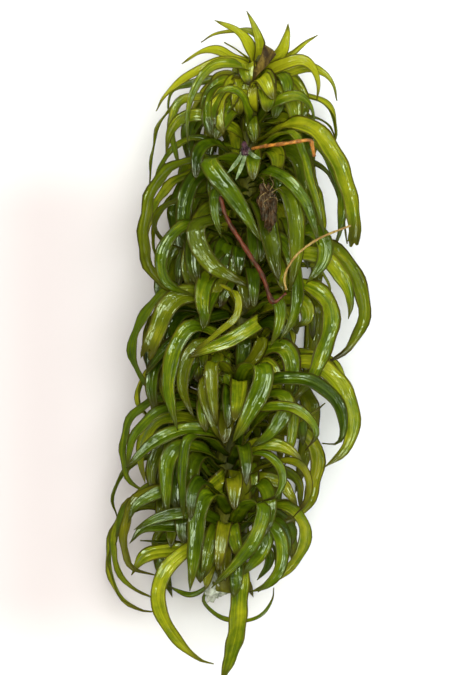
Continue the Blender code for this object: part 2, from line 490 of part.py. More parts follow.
CURVE_FINENESS = 16
WELD_DISTANCE = 0.01 * MM
SHARP_EDGE = math.radians(50)


def clear_scene():
    """Remove whatever the file starts with."""
    for item in list(bpy.data.objects):
        bpy.data.objects.remove(item, do_unlink=True)


def make_collection(name):
    """A new collection in the scene."""
    made = bpy.data.collections.new(name)
    bpy.context.scene.collection.children.link(made)
    return made


def make_material(name, look):
    """A Principled BSDF of one colour and roughness."""
    colour, roughness = look
    material = bpy.data.materials.new(name)
    material.use_nodes = True
    shader = material.node_tree.nodes["Principled BSDF"]
    shader.inputs["Base Color"].default_value = (*colour, 1.0)
    shader.inputs["Roughness"].default_value = roughness
    shader.inputs["Metallic"].default_value = 0.0
    return material


def stem_at(height):
    """The stem's centre and radius where it is this high, in metres."""
    low = STEM_LINE[0]
    for high in STEM_LINE[1:]:
        if height <= high[1] or high is STEM_LINE[-1]:
            break
        low = high
    share = (height - low[1]) / (high[1] - low[1])
    centre = Vector(low).lerp(Vector(high), share) * MM
    length = STEM_LINE[-1][1] - STEM_LINE[0][1]
    along = min(1.0, max(0.0, (height - STEM_LINE[0][1]) / length))
    return centre, STEM_CUT_RADIUS + (STEM_TIP_RADIUS - STEM_CUT_RADIUS) * along ** STEM_TAPER


def smooth_route(points, steps):
    """Evenly spaced points on a smooth curve through the given ones."""
    ends = [points[0] * 2 - points[1], *points, points[-1] * 2 - points[-2]]
    fine = []
    for i in range(1, len(ends) - 2):
        before, start, end, after = ends[i - 1:i + 3]
        for k in range(CURVE_FINENESS):
            t = k / CURVE_FINENESS
            fine.append(
                0.5 * (
                    2 * start
                    + (end - before) * t
                    + (2 * before - 5 * start + 4 * end - after) * t ** 2
                    + (3 * start - before - 3 * end + after) * t ** 3
                )
            )
    fine.append(points[-1])
    reach = [0.0]
    for a, b in zip(fine, fine[1:]):
        reach.append(reach[-1] + (b - a).length)
    route = []
    i = 0
    for k in range(steps + 1):
        wanted = reach[-1] * k / steps
        while i < len(reach) - 2 and reach[i + 1] < wanted:
            i += 1
        share = (wanted - reach[i]) / (reach[i + 1] - reach[i])
        route.append(fine[i].lerp(fine[i + 1], min(1.0, share)))
    return route


def step_count(points):
    """How many steps a leaf through these points has, in millimetres."""
    length = sum((Vector(b) - Vector(a)).length for a, b in zip(points, points[1:])) * MM
    return min(MOST_STEPS, max(FEWEST_STEPS, round(length / STEP_LENGTH)))


def rooted(height, points, fused):
    """A leaf's points with its root beside the stem, or buried in it, put first."""
    centre, radius = stem_at(height)
    outward = points[0] - centre
    outward.y = 0.0
    outward.normalize()
    start = radius * BURIED_SHARE if fused else radius + ROOT_GAP
    return [centre + outward * start, *points]


def leaf_width_share(name, t):
    """A strap-shaped blade: a little narrower at its root, and tapering to its tip. The young leaves of
    the tip are broadest at their roots."""
    if name == WITHERED_LEAF[0]:
        return FOLDED_ROOT_WIDTH + (1.0 - FOLDED_ROOT_WIDTH) * t ** FUNNEL_POWER
    if name.startswith(CROWN_NAME):
        taper = max(0.0, t - CROWN_TAPER_START) / (1.0 - CROWN_TAPER_START)
        return 1.0 - SHARP_TAPER * taper ** CROWN_TAPER_POWER
    root = ROOT_WIDTH + (1.0 - ROOT_WIDTH) * min(1.0, t / ROOT_END)
    taper = max(0.0, t - TAPER_START) / (1.0 - TAPER_START)
    depth = BLUNT_TAPER if name in BLUNT_LEAVES else SHARP_TAPER
    return root * (1.0 - depth * taper ** TAPER_POWER)


def blade_sides(route, tilt):
    """The sideways direction of the blade at each point: square to the plane that the leaf curls in,
    and leaning over by the tilt away from its root."""
    middle = sum(route, Vector()) / len(route)
    face = Vector()
    for a, b in zip(route, route[1:] + route[:1]):
        face += (a - middle).cross(b - middle)
    face.normalize()
    if face.z < 0:
        face.negate()
    halfway = route[len(route) // 2]
    hand = 1.0 if halfway.x > stem_at(halfway.y / MM)[0].x else -1.0
    sides = []
    for i, point in enumerate(route):
        ahead = route[min(i + 1, len(route) - 1)]
        behind = route[max(i - 1, 0)]
        along = (ahead - behind).normalized()
        side = (face - along * along.dot(face)).normalized()
        lean = math.radians(tilt) * hand * min(1.0, i / (LEAN_FROM * (len(route) - 1)))
        side = side * math.cos(lean) + along.cross(side) * math.sin(lean)
        side.z *= min(1.0, (point.z - LEAF_THICKNESS / 2) / LEVEL_BELOW)
        sides.append(side.normalized())
    return sides


def blade_points(name, route, width, tilt):
    """The two edges of the blade, as pairs of points along the route."""
    pairs = []
    sides = blade_sides(route, tilt)
    for i, point in enumerate(route):
        half = sides[i] * (width / 2 * leaf_width_share(name, i / (len(route) - 1)))
        pairs.append((point - half, point + half))
    return pairs


def blade_hull(pairs, spare):
    """The corners and faces of a closed blade that is bigger by the spare all round."""
    corners = []
    for i, (left, right) in enumerate(pairs):
        ahead = pairs[min(i + 1, len(pairs) - 1)]
        behind = pairs[max(i - 1, 0)]
        along = (ahead[0] + ahead[1] - behind[0] - behind[1]).normalized()
        side = (right - left).normalized()
        up = side.cross(along).normalized() * (LEAF_THICKNESS / 2 + spare)
        left = left - side * spare
        right = right + side * spare
        corners += [left - up, right - up, right + up, left + up]
    faces = [(3, 2, 1, 0), tuple(len(corners) - 4 + k for k in range(4))]
    for i in range(len(pairs) - 1):
        for k in range(4):
            a = 4 * i + k
            b = 4 * i + (k + 1) % 4
            faces.append((a, b, b + 4, a + 4))
    return corners, faces


def add_blade(piece, pairs):
    """Put a blade among the ones that the next leaves have to clear."""
    corners, faces = blade_hull(pairs, 0.0)
    start = len(piece["corners"])
    piece["corners"] += corners
    piece["faces"] += [tuple(start + k for k in face) for face in faces]
    piece["tree"] = BVHTree.FromPolygons(piece["corners"], piece["faces"])


def settle(row, fused, placed):
    """Move a leaf by the smallest nudge that makes it clear of the others, and return its two edges, or
    nothing where no nudge does. Leaves of the stem's own piece may meet each other at their roots."""
    name, width, tilt, height, points = row
    steps = step_count(points)
    centre = stem_at(height)[0]
    for lift, slide, turn, tip in NUDGES:
        round_stem = Matrix.Rotation(math.radians(turn), 3, "Y")
        moved = []
        for i, point in enumerate(points):
            up = lift + tip * i / (len(points) - 1)
            place = (Vector(point) + Vector((0.0, slide, up))) * MM
            moved.append(centre + round_stem @ (place - centre))
        root = min(height + slide, STEM_LINE[-1][1] - TIP_MARGIN)
        route = smooth_route(rooted(root, moved, fused), steps)
        for point in route:
            point.z = max(point.z, LEAF_THICKNESS / 2)
        pairs = blade_points(name, route, width * MM, tilt)
        tree = BVHTree.FromPolygons(*blade_hull(pairs, LEAF_GAP))
        if tree.overlap(placed["own pieces"]["tree"]):
            continue
        if fused:
            tree = BVHTree.FromPolygons(*blade_hull(pairs[1:], LEAF_GAP))
        if tree.overlap(placed["stem piece"]["tree"]):
            continue
        if fused:
            add_blade(placed["stem piece"], pairs[1:])
        else:
            add_blade(placed["own pieces"], pairs)
        return pairs
    return None


def make_leaf(name, pairs, collection):
    """A blade as a grid laid along its two edges, with a Solidify modifier."""
    steps = len(pairs) - 1
    grid = bmesh.new()
    bmesh.ops.create_grid(grid, x_segments=1, y_segments=steps, size=0.5)
    for vert in grid.verts:
        left, right = pairs[round((vert.co.y + 0.5) * steps)]
        vert.co = right if vert.co.x > 0 else left
    mesh = bpy.data.meshes.new(name)
    grid.to_mesh(mesh)
    grid.free()
    mesh.shade_smooth()
    leaf = bpy.data.objects.new(name, mesh)
    collection.objects.link(leaf)
    solidify = leaf.modifiers.new("blade thickness", "SOLIDIFY")
    solidify.thickness = LEAF_THICKNESS
    solidify.offset = 0.0
    return leaf


def make_tube(name, points, radii, resolution, collection):
    """A closed tube through the points, made a mesh with welded caps."""
    curve = bpy.data.curves.new(name, "CURVE")
    curve.dimensions = "3D"
    curve.bevel_depth = 1.0
    curve.bevel_resolution = resolution
    curve.use_fill_caps = True
    spline = curve.splines.new("POLY")
    spline.points.add(len(points) - 1)
    for i, point in enumerate(points):
        spline.points[i].co = (*point, 1.0)
        spline.points[i].radius = radii[i]
    guide = bpy.data.objects.new(name + "_route", curve)
    collection.objects.link(guide)
    bpy.context.view_layer.update()
    evaluated = guide.evaluated_get(bpy.context.evaluated_depsgraph_get())
    mesh = bpy.data.meshes.new_from_object(evaluated)
    welded = bmesh.new()
    welded.from_mesh(mesh)
    bmesh.ops.remove_doubles(welded, verts=welded.verts, dist=WELD_DISTANCE)
    bmesh.ops.recalc_face_normals(welded, faces=welded.faces)
    welded.to_mesh(mesh)
    welded.free()
    mesh.name = name
    bpy.data.objects.remove(guide)
    tube = bpy.data.objects.new(name, mesh)
    collection.objects.link(tube)
    mesh.shade_smooth()
    mesh.set_sharp_from_angle(angle=SHARP_EDGE)
    return tube


def inner_leaf_rows():
    """Short leaves that stand in a spiral round the stem and curl back at their tips."""
    rows = []
    for i in range(INNER_LEAF_COUNT):
        share = i / (INNER_LEAF_COUNT - 1)
        height = INNER_LEAF_START + (INNER_LEAF_END - INNER_LEAF_START) * share
        centre, radius = stem_at(height)
        turn = math.radians(INNER_LEAF_TURN * i)
        outward = Vector((math.sin(turn), 0.0, math.cos(turn)))
        reach = 1.0 - YOUNG_SHRINK * max(0.0, share - YOUNG_FROM) / (1.0 - YOUNG_FROM)
        points = []
        for out, along in INNER_LEAF_CURL:
            place = centre / MM + outward * (radius / MM + out * reach)
            place.y = height + along * reach
            place.z = max(place.z, INNER_LEAF_LOWEST)
            points.append(tuple(place))
        tilt = INNER_LEAF_TILT * abs(math.sin(turn))
        rows.append((f"inner_leaf_{i + 1}", INNER_LEAF_WIDTH, tilt, height, tuple(points)))
    return rows


def floor_leaf_rows():
    """Leaves under the stem: each comes down from it, and its outer half lies pressed on the surface."""
    rows = []
    for i, (height, out, back, aside) in enumerate(FLOOR_LEAVES):
        middle = stem_at(height)[0].x / MM
        points = []
        for out_share, aside_share, back_share, forward, up in FLOOR_LEAF_BEND:
            across = middle + out * out_share + aside * aside_share
            points.append((across, height + forward - back * back_share, up))
        rows.append((f"floor_leaf_{i + 1}", FLOOR_LEAF_WIDTH, 0, height, tuple(points)))
    return rows


def make_lump(name, place, half_size, lobes, collection, taper=0.0):
    """A small icosphere pushed in and out by a few waves, as a shrivelled lump. It may narrow towards -Y."""
    lump = bmesh.new()
    bmesh.ops.create_icosphere(lump, subdivisions=LUMP_SUBDIVISIONS, radius=1.0)
    for vert in lump.verts:
        around = math.atan2(vert.co.y, vert.co.x)
        lobe = LOBE_DEPTH * math.cos(lobes * around + LOBE_PHASE)
        wrinkle = WRINKLE_DEPTH * math.sin(WRINKLES_UP * vert.co.z + WRINKLES_ROUND * around)
        wave = 1.0 + lobe + wrinkle
        vert.co.x *= 1.0 - taper * (1.0 - vert.co.y) / 2
        vert.co = Vector([(vert.co[k] * wave * half_size[k] + place[k]) * MM for k in range(3)])
    mesh = bpy.data.meshes.new(name)
    lump.to_mesh(mesh)
    lump.free()
    mesh.shade_smooth()
    made = bpy.data.objects.new(name, mesh)
    collection.objects.link(made)
    return made


def unite(piece, parts, collection):
    """Grow the parts, which go to a hidden collection, together with the piece."""
    for part in parts:
        part.hide_render = True
        part.display_type = "WIRE"
    union = piece.modifiers.new("parts grown together", "BOOLEAN")
    union.operation = "UNION"
    union.operand_type = "COLLECTION"
    union.collection = collection


def make_own_leaves(placed, collection):
    """The leaves that are pieces of their own, each in its material."""
    green = make_material("leaf_green", LEAF_GREEN)
    pale = make_material("pale_leaf", LEAF_PALE)
    brown = make_material("withered_leaf_brown", WITHERED_BROWN)
    materials = {WITHERED_LEAF[0]: brown, BROKEN_LEAF[0]: pale}
    for row in (WITHERED_LEAF, BROKEN_LEAF, *BIG_LEAVES):
        leaf = make_leaf(row[0], settle(row, False, placed), collection)
        leaf.data.materials.append(materials.get(row[0], green))


def make_stem(placed, collection, hidden):
    """The stem, with the young, inner and floor leaves and the pale matter grown together with it."""
    points = []
    radii = []
    for i in range(STEM_POINTS + 1):
        height = STEM_LINE[0][1] + (STEM_LINE[-1][1] - STEM_LINE[0][1]) * i / STEM_POINTS
        centre, radius = stem_at(height)
        points.append(centre)
        radii.append(radius)
    stem = make_tube("stem_with_young_leaves", points, radii, STEM_BEVEL_RESOLUTION, collection)
    stem.data.materials.append(make_material("stem_green", STEM_GREEN))
    parts = []
    for row in (*YOUNG_LEAVES, *floor_leaf_rows(), *inner_leaf_rows()):
        pairs = settle(row, True, placed)
        if pairs is not None:
            parts.append(make_leaf(row[0], pairs, hidden))
    parts.append(make_lump("pale_matter", PALE_PLACE, PALE_HALF_SIZE, PALE_LOBES, hidden))
    unite(stem, parts, hidden)


def make_stalks(collection):
    """The three thread-like stalks."""
    for (name, radius, route), look in zip(STALKS, STALK_COLOURS):
        points = [Vector(point) * MM for point in route]
        radii = [radius * MM] * len(points)
        radii[0] *= STALK_ROOT_SHARE
        stalk = make_tube(name, points, radii, STALK_BEVEL_RESOLUTION, collection)
        stalk.data.materials.append(make_material(name, look))


def make_flower(collection, hidden):
    """The knot of the spent flower with its withered strips."""
    flower = make_lump("spent_flower", FLOWER_PLACE, FLOWER_HALF_SIZE, FLOWER_LOBES, collection)
    flower.data.materials.append(make_material("spent_flower_purple", FLOWER_PURPLE))
    parts = []
    for i, strip in enumerate(FLOWER_STRIPS):
        route = smooth_route([Vector(point) * MM for point in strip], FLOWER_STRIP_STEPS)
        name = f"flower_strip_{i + 1}"
        parts.append(make_leaf(name, blade_points(name, route, FLOWER_STRIP_WIDTH * MM, 0), hidden))
    unite(flower, parts, hidden)


def main():
    clear_scene()
    shoot = make_collection("curly_waterweed")
    with_stem = make_collection("parts_united_with_the_stem")
    with_flower = make_collection("parts_united_with_the_flower")
    placed = {}
    for owner in ("own pieces", "stem piece"):
        placed[owner] = {"corners": [], "faces": [], "tree": BVHTree.FromPolygons([], [])}
    make_own_leaves(placed, shoot)
    make_stem(placed, shoot, with_stem)
    make_stalks(shoot)
    make_flower(shoot, with_flower)
    brown = make_lump("brown_matter", BROWN_PLACE, BROWN_HALF_SIZE, BROWN_LOBES, shoot, BROWN_TAPER)
    brown.data.materials.append(make_material("brown_matter", MATTER_BROWN))


main()
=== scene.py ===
"""Curly waterweed shoot, dressed for its studio picture.

The leaves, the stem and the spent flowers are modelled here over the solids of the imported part. The
camera looks straight down on the shoot, which lies on a sheet of white paper.
"""

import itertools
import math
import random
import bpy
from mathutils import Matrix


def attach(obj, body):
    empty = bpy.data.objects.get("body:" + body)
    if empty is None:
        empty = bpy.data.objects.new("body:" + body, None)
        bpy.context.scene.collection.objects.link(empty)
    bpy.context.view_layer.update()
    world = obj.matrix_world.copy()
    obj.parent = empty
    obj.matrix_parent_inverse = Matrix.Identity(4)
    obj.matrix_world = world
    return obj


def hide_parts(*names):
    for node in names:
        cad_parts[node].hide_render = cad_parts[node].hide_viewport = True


bl_info = {
    "name": "Curly Waterweed Shoot",
    "version": (1, 0, 0),
    "blender": (4, 5, 0),
    "location": "3D View > Sidebar > Waterweed",
    "description": "Models the leaves, stem and spent flowers of a waterweed shoot, and its studio",
    "category": "Add Mesh",
}

import bmesh
import bpy
from bpy.props import FloatProperty, FloatVectorProperty, IntProperty, PointerProperty
from mathutils import Matrix, Vector, noise
from mathutils.bvhtree import BVHTree

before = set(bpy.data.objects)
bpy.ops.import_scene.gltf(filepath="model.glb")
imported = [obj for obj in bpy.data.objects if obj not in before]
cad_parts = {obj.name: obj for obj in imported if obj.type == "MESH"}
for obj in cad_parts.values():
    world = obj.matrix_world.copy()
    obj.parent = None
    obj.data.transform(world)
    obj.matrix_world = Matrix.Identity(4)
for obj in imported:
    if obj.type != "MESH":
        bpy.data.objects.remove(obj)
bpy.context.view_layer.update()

# The sizes that the solids were made with
MM = 0.001
LEAF_THICKNESS = 0.35 * MM
LEAF_GAP = 0.15 * MM
ROOT_GAP = 0.35 * MM
BURIED_SHARE = 0.45
STEM_CUT_RADIUS = 2.2 * MM
STEM_TIP_RADIUS = 1.0 * MM
STEM_TAPER = 1.5
TIP_MARGIN = 0.8
STEP_LENGTH = 2.85 * MM
FEWEST_STEPS = 4
MOST_STEPS = 10
CURVE_FINENESS = 16
LEAN_FROM = 0.3
LEVEL_BELOW = 2.5 * MM

# How the solids' blades narrow, as shares of their width and length
ROOT_WIDTH = 0.85
ROOT_END = 0.15
TAPER_START = 0.5
TAPER_POWER = 1.8
CROWN_TAPER_START = 0.2
CROWN_TAPER_POWER = 1.3
SHARP_TAPER = 0.92
BLUNT_TAPER = 0.3
FOLDED_ROOT_WIDTH = 0.15
FUNNEL_POWER = 1.7

# The outline of the drawn blades, which are a little straighter than the solids
STRAP_TAPER_START = 0.58
STRAP_TAPER_POWER = 2.0
INNER_NAMES = ("inner_leaf", "side_leaf", "short_leaf", "front_leaf")
INNER_TAPER = 0.72
POINT_START = 0.91
POINT_WIDTH = 0.08

# The stem's centre line in millimetres, from the cut end to the growing tip. A height on the stem is a
# place along Y.
STEM_LINE = (
    (-1.9, -30.6, 12), (-1.1, -25.4, 12), (-0.6, -12.9, 12), (0.4, -0.4, 12),
    (1.4, 12.1, 12), (1.5, 23.4, 12.2), (1.9, 30.9, 12.3), (2.8, 37.1, 12.6),
)

# The leaves that are pieces of their own. Each row gives the name, the tint, the width, how many degrees
# the blade leans over, the height on the stem where the leaf grows, and the points of its midrib, all in
# millimetres. The tints are y yellow-green, g green, d dark, o olive, b browned, w wet green, p pale,
# i inner, which is dark as painted shade for leaves deep in the shoot and partly browned, and f floor.
BIG_LEAVES = (
    ("upper_left_leaf_1", "g", 1.9, 24, 29.6, (
        (-2.8, 31.4, 10), (-6.1, 31.1, 9.5), (-9.4, 28.6, 9), (-10.6, 24.4, 8.5), (-11, 19.6, 8),
    )),
    ("upper_left_leaf_2", "g", 1.4, 38, 28.6, (
        (-2.8, 30.9, 14.5), (-6.1, 31.1, 15), (-7.8, 29.6, 15), (-8.1, 26.5, 14.5), (-7.1, 22.1, 13),
    )),
    ("upper_left_leaf_3", "g", 1.7, 30, 26.1, (
        (-0.6, 27.5, 16), (-4.2, 28.9, 17), (-6.9, 28.5, 16.5), (-8.4, 26.5, 15.5), (-8.9, 24, 14.5),
    )),
    ("upper_left_leaf_5", "g", 2.4, 25, 21.9, (
        (-2.1, 23, 14.5), (-5.8, 23.2, 16), (-8.4, 22.1, 17), (-10.4, 19.6, 17.5), (-11.2, 16.4, 17.5),
        (-11.5, 13.1, 17.3), (-10.8, 10, 17), (-8.9, 7.8, 16.2), (-6.1, 6.5, 15.3), (-2.9, 6, 14.5),
    )),
    ("upper_left_leaf_8", "d", 1.6, 20, 17.1, (
        (-2.1, 18.6, 14.5), (-5.2, 18.8, 15.5), (-8.1, 18, 16), (-9.9, 16.5, 16), (-10.2, 14.9, 16),
        (-8.9, 13.2, 15.5), (-6.1, 12, 14.5),
    )),
    ("upper_left_leaf_9", "g", 1.9, 36, 13.4, (
        (-1.9, 14.6, 16.4), (-5.6, 15.4, 19.5), (-7.8, 14.2, 20.5), (-9.2, 12, 20.5), (-9.4, 9.6, 20.3),
        (-8.2, 7.6, 19.8), (-4.4, 6.1, 18.5),
    )),
    ("upper_left_leaf_10", "d", 2.4, 30, 15.1, (
        (-1.5, 15.9, 20), (-4.6, 15.4, 22), (-5, 13.4, 22.5), (-3.1, 10.2, 22), (1.6, 7.4, 20.5),
    )),
    ("upper_left_leaf_11", "w", 2.4, 0, 21.9, (
        (-0.6, 24, 19.5), (-3.4, 23.9, 22), (-2.6, 22.1, 23), (-0.1, 18.9, 23.5), (3.1, 13.6, 22.5),
    )),
    ("upper_left_leaf_12", "w", 1.4, 30, 18, (
        (-1.4, 19, 17.6), (-3.5, 18.8, 18.8), (-3.9, 16.9, 19.2), (-3.6, 14.9, 19.2), (-3, 12.9, 18.9),
    )),
    ("upper_right_leaf_1", "g", 1.9, 30, 29.4, (
        (6, 31.1, 10), (9.5, 31.2, 9.5), (11.6, 29.9, 9), (12.4, 27.1, 8.5), (12, 25.1, 8),
    )),
    ("upper_right_leaf_3", "y", 2.6, 20, 25.9, (
        (6, 27.6, 17), (8.9, 27.5, 18.5), (11.1, 25.4, 19), (12.9, 22.1, 18.5), (14, 18.4, 18),
        (14.5, 15.4, 17.5), (14.4, 12.9, 17),
    )),
    ("upper_right_leaf_6", "g", 1.6, 0, 24.6, (
        (4.8, 26.9, 19.5), (7.1, 27.1, 21), (8.2, 24.6, 21.5), (9.2, 20.9, 21.5), (10.2, 17.4, 21),
        (10.9, 14.4, 20),
    )),
    ("upper_right_leaf_7", "g", 1.6, 0, 21.9, (
        (3.6, 23.1, 20), (5.6, 22.5, 22), (7.8, 20.4, 22.8), (9.1, 17.8, 22.5), (10.2, 13.9, 21),
    )),
    ("upper_right_leaf_8", "g", 2.4, 0, 18.4, (
        (3.9, 20.1, 19.2), (5.8, 20.2, 21.7), (6.9, 18.4, 22.7), (7.4, 14, 22.9), (7.1, 10.2, 22.5),
        (6.5, 7.4, 21.5),
    )),
    ("left_leaf_1", "g", 2.1, 24, 5.9, (
        (-4, 7.5, 13), (-8.2, 7.4, 13.5), (-10.8, 5, 14), (-12.6, 1.8, 14), (-13.1, -0.8, 14),
        (-12.4, -2.8, 13.5), (-11.1, -4.9, 13), (-9.2, -6.2, 12.5),
    )),
    ("left_leaf_2", "g", 2.6, 40, 4.9, (
        (-2.8, 6.6, 17.5), (-6.6, 7.2, 19), (-8.8, 5.4, 19.5), (-10.2, 2.1, 19), (-11.4, -0.9, 18),
    )),
    ("left_leaf_3", "d", 2.3, 0, 3.1, ((-1.5, 4.1, 15), (-5, 2.8, 16), (-9, -0.4, 16), (-11.5, -3.5, 15))),
    ("left_leaf_4", "p", 1.0, 0, 4.6, (
        (-0.9, 6.9, 20), (-1.8, 7.6, 22), (0, 6.4, 23), (-0.1, 3.9, 23), (-2.4, 1.8, 22.5),
        (-5.9, -1, 21),
    )),
    ("left_leaf_5", "o", 2.0, 0, 1.9, (
        (2.6, 3.1, 19), (1.6, 2.4, 21), (-0.9, 0.9, 21), (-3.6, -0.2, 20.5), (-6.1, -1.4, 19.5),
    )),
    ("left_leaf_6", "w", 2.2, 30, -0.4, (
        (-2.5, 1.6, 18), (-5.6, 2.5, 19.5), (-7.5, 0.2, 19.5), (-8.5, -3.9, 19), (-8.2, -7.2, 18.5),
        (-7.4, -10.4, 18),
    )),
    ("right_leaf_1", "b", 2.5, 27, 10.6, (
        (6.6, 12.6, 12.5), (11, 12.6, 13), (13.8, 10.4, 13.5), (15.5, 6.5, 13.5), (15.6, 3.4, 13.5),
        (13.9, 0, 13), (10.9, -2.2, 12.5),
    )),
    ("right_leaf_2", "y", 2.3, 28, 9, (
        (6.6, 11.5, 17), (10.6, 11.2, 17.5), (13.2, 8.4, 17), (14.1, 5.6, 16.5), (13.9, 3.5, 16),
    )),
    ("right_leaf_4", "w", 2.2, 62, 11.5, (
        (6, 13.6, 16.5), (9.2, 14.6, 17.5), (10.9, 12.9, 18), (10.6, 10.4, 18), (8.6, 7.9, 17.5),
    )),
    ("right_leaf_5", "o", 2.6, 32, 5.9, (
        (5.1, 7.5, 17.2), (8.6, 7.6, 18.8), (11, 5.9, 19.5), (11.6, 3.1, 19.5), (10.6, -0.4, 19.2),
        (9.1, -3.9, 18.4), (6.4, -7.4, 17),
    )),
    ("right_leaf_6", "o", 2.4, 30, 2.1, (
        (3.9, 3.9, 17.2), (6.6, 4.9, 18.6), (8.5, 3.9, 19.2), (8.6, 2.1, 19.2), (6.9, 1.1, 18.8),
    )),
    ("right_leaf_7", "g", 1.9, 60, 12.1, (
        (4.1, 13.5, 19), (5.9, 13, 20.4), (7.1, 10.4, 21.2), (7.6, 7.1, 21.4), (7, 3.6, 21.1),
        (5.2, 0.6, 20.4),
    )),
    ("right_leaf_8", "d", 2.8, 0, 15.2, (
        (2.2, 16.9, 18.5), (3.1, 16.4, 20), (3.9, 13.6, 20.8), (4.6, 9.9, 20.8), (5.2, 6.9, 20),
    )),
    ("middle_leaf_3", "w", 2.6, 0, -4.8, (
        (1.4, -2.6, 20), (3.1, -2.4, 22), (3.1, -4.6, 22.5), (1.5, -8.1, 22.3), (-0.6, -12, 21),
    )),
    ("middle_leaf_4", "g", 2.1, 30, -7.9, (
        (3.1, -6.1, 18.5), (5.8, -6.1, 20), (6, -7.9, 20.3), (4.1, -10.8, 20), (1.6, -12.6, 19),
    )),
    ("lower_left_leaf_2", "g", 2.1, 19, -8.1, (
        (-4.6, -6.5, 11.5), (-8.8, -6.4, 11.5), (-11.9, -7.6, 11), (-13.6, -9.8, 11), (-14.1, -12.5, 11),
        (-14, -15.1, 10.8), (-12.9, -17.2, 10.5), (-9.6, -19, 10),
    )),
    ("lower_left_leaf_3", "g", 2.0, 20, -9.4, (
        (-5.2, -7.4, 15), (-9.1, -7.8, 15.5), (-11.9, -9.9, 15.5), (-13.4, -12.8, 15), (-13.6, -16, 14.5),
    )),
    ("lower_left_leaf_5", "g", 1.9, 32, -11.6, (
        (-3.6, -10.4, 16.8), (-7.1, -10.4, 17.2), (-10.6, -12.1, 17.2), (-13.8, -15.1, 16.5),
    )),
    ("lower_left_leaf_6", "w", 1.9, 0, -12.2, (
        (-3.4, -10.4, 19.2), (-5.5, -9.9, 20.6), (-6.5, -11.6, 21), (-6.8, -15.4, 20.8),
        (-6.6, -20.4, 19.5),
    )),
    ("lower_left_leaf_7", "w", 2.2, 30, -14.4, (
        (-4, -12.9, 16.5), (-6.9, -12.4, 18), (-8.4, -13.9, 18.3), (-8.8, -17.2, 18), (-8.6, -20.9, 17),
    )),
    ("lower_left_leaf_9", "g", 1.9, 27, -18.1, (
        (-5.9, -16.9, 12), (-10.9, -17.5, 12), (-14.1, -20.4, 11.5), (-15.2, -24.8, 10.5),
    )),
    ("lower_right_leaf_1", "y", 2.6, 38, -4.8, (
        (5.1, -2.5, 14), (9.2, -2, 15), (12.1, -3.9, 15.5), (13.9, -7.2, 15.5), (14.2, -10.6, 15.3),
        (13.1, -13.1, 15), (10.8, -15.1, 14.5),
    )),
    ("lower_right_leaf_3", "d", 1.9, 22, -6, (
        (4.4, -4.2, 17.3), (8.2, -4, 18.3), (11.1, -5.4, 18.5), (12.8, -7.6, 18.3), (13.2, -10.1, 17.9),
        (12.4, -12, 17.5), (10.6, -12, 17.2),
    )),
    ("lower_right_leaf_5", "b", 1.5, 16, -9.1, (
        (3.1, -7.6, 19.2), (6.6, -7.5, 21.2), (8.8, -8.8, 21.4), (9.8, -10.8, 21.2), (8.5, -12.9, 20.8),
    )),
    ("lower_right_leaf_7", "o", 2.3, 33, -14.1, (
        (3.1, -11.6, 13.5), (6.6, -10.4, 14.5), (9, -11.5, 14.8), (10, -13.8, 14.8), (9.5, -16.9, 14.8),
        (8.8, -19.4, 14.3), (7.1, -21.2, 13.8), (4.1, -22.5, 13.5),
    )),
    ("lower_right_leaf_8", "o", 1.6, 60, -11.6, (
        (3.1, -8.6, 17.4), (5.9, -6.9, 18.3), (7, -8.1, 18.6), (6.8, -11.2, 18.4), (6.4, -13, 18),
        (5.9, -14.9, 17.4),
    )),
    ("lower_right_leaf_9", "b", 1.5, 20, -15.1, (
        (1.1, -13.6, 19.5), (3.4, -13.4, 20.8), (5.1, -14.6, 21.2), (5.6, -16.8, 21), (4.8, -18.5, 20.7),
        (3.1, -19.2, 20.3),
    )),
    ("end_left_leaf_1", "o", 2.1, 22, -22.9, (
        (-5.9, -21, 7.5), (-11.5, -20.1, 6.5), (-14.8, -21.9, 6), (-16.1, -26.6, 5.5), (-14.8, -31.1, 5),
        (-11.8, -33.1, 4.6), (-9.8, -33.1, 4.2),
    )),
    ("end_left_leaf_2", "y", 2.3, 28, -21.6, (
        (-5.9, -19.6, 10), (-11.1, -18.9, 10), (-14.2, -20.6, 9.8), (-15.4, -25.4, 9.4),
        (-13.8, -29.5, 9), (-10.2, -31.6, 8.5),
    )),
    ("end_left_leaf_3", "d", 2.0, 25, -20.6, (
        (-5.2, -18.5, 14.5), (-10.2, -17.9, 15), (-12.9, -19.6, 15), (-14, -23.9, 14.8),
        (-13.1, -27.4, 14.3), (-9.9, -28.6, 13.5),
    )),
    ("end_left_leaf_8", "y", 2.0, 30, -26.6, (
        (-4, -24.8, 17), (-6.6, -25.6, 18.5), (-9, -28.1, 19), (-9.8, -31.6, 18), (-8.1, -35.6, 16),
        (-5, -38.8, 14), (-2.9, -39.6, 13),
    )),
    ("end_left_leaf_9", "w", 2.3, 0, -20.6, (
        (-2.4, -18.6, 19.4), (-3.9, -18.6, 21.2), (-4.8, -21, 21.8), (-5.2, -25.4, 21.2),
        (-5.9, -30.4, 19.6),
    )),
    ("end_left_leaf_11", "b", 0.8, 30, -28.9, (
        (-3.6, -30.1, 10), (-4.1, -31.9, 9.5), (-1.9, -33.8, 9.5), (1, -34.2, 9.7), (3.1, -33.4, 10),
        (4.4, -31.6, 10.3), (4.6, -30.1, 10.5),
    )),
    ("end_right_leaf_1", "o", 2.1, 25, -21, (
        (3.5, -19.5, 13), (6.5, -19.4, 13.7), (8.1, -21.2, 14), (8.4, -23.6, 13.8), (7.5, -25.6, 13.5),
        (5.5, -27.8, 13), (2.6, -30, 12.5),
    )),
    ("end_right_leaf_2", "g", 1.8, 40, -23.1, (
        (1.9, -21.6, 17), (4.1, -22.1, 18.5), (5.5, -24.5, 19), (5.4, -27.2, 18.7), (3.9, -29.5, 18),
        (1.6, -30.6, 17),
    )),
    ("end_right_leaf_4", "w", 2.0, 0, -21.4, (
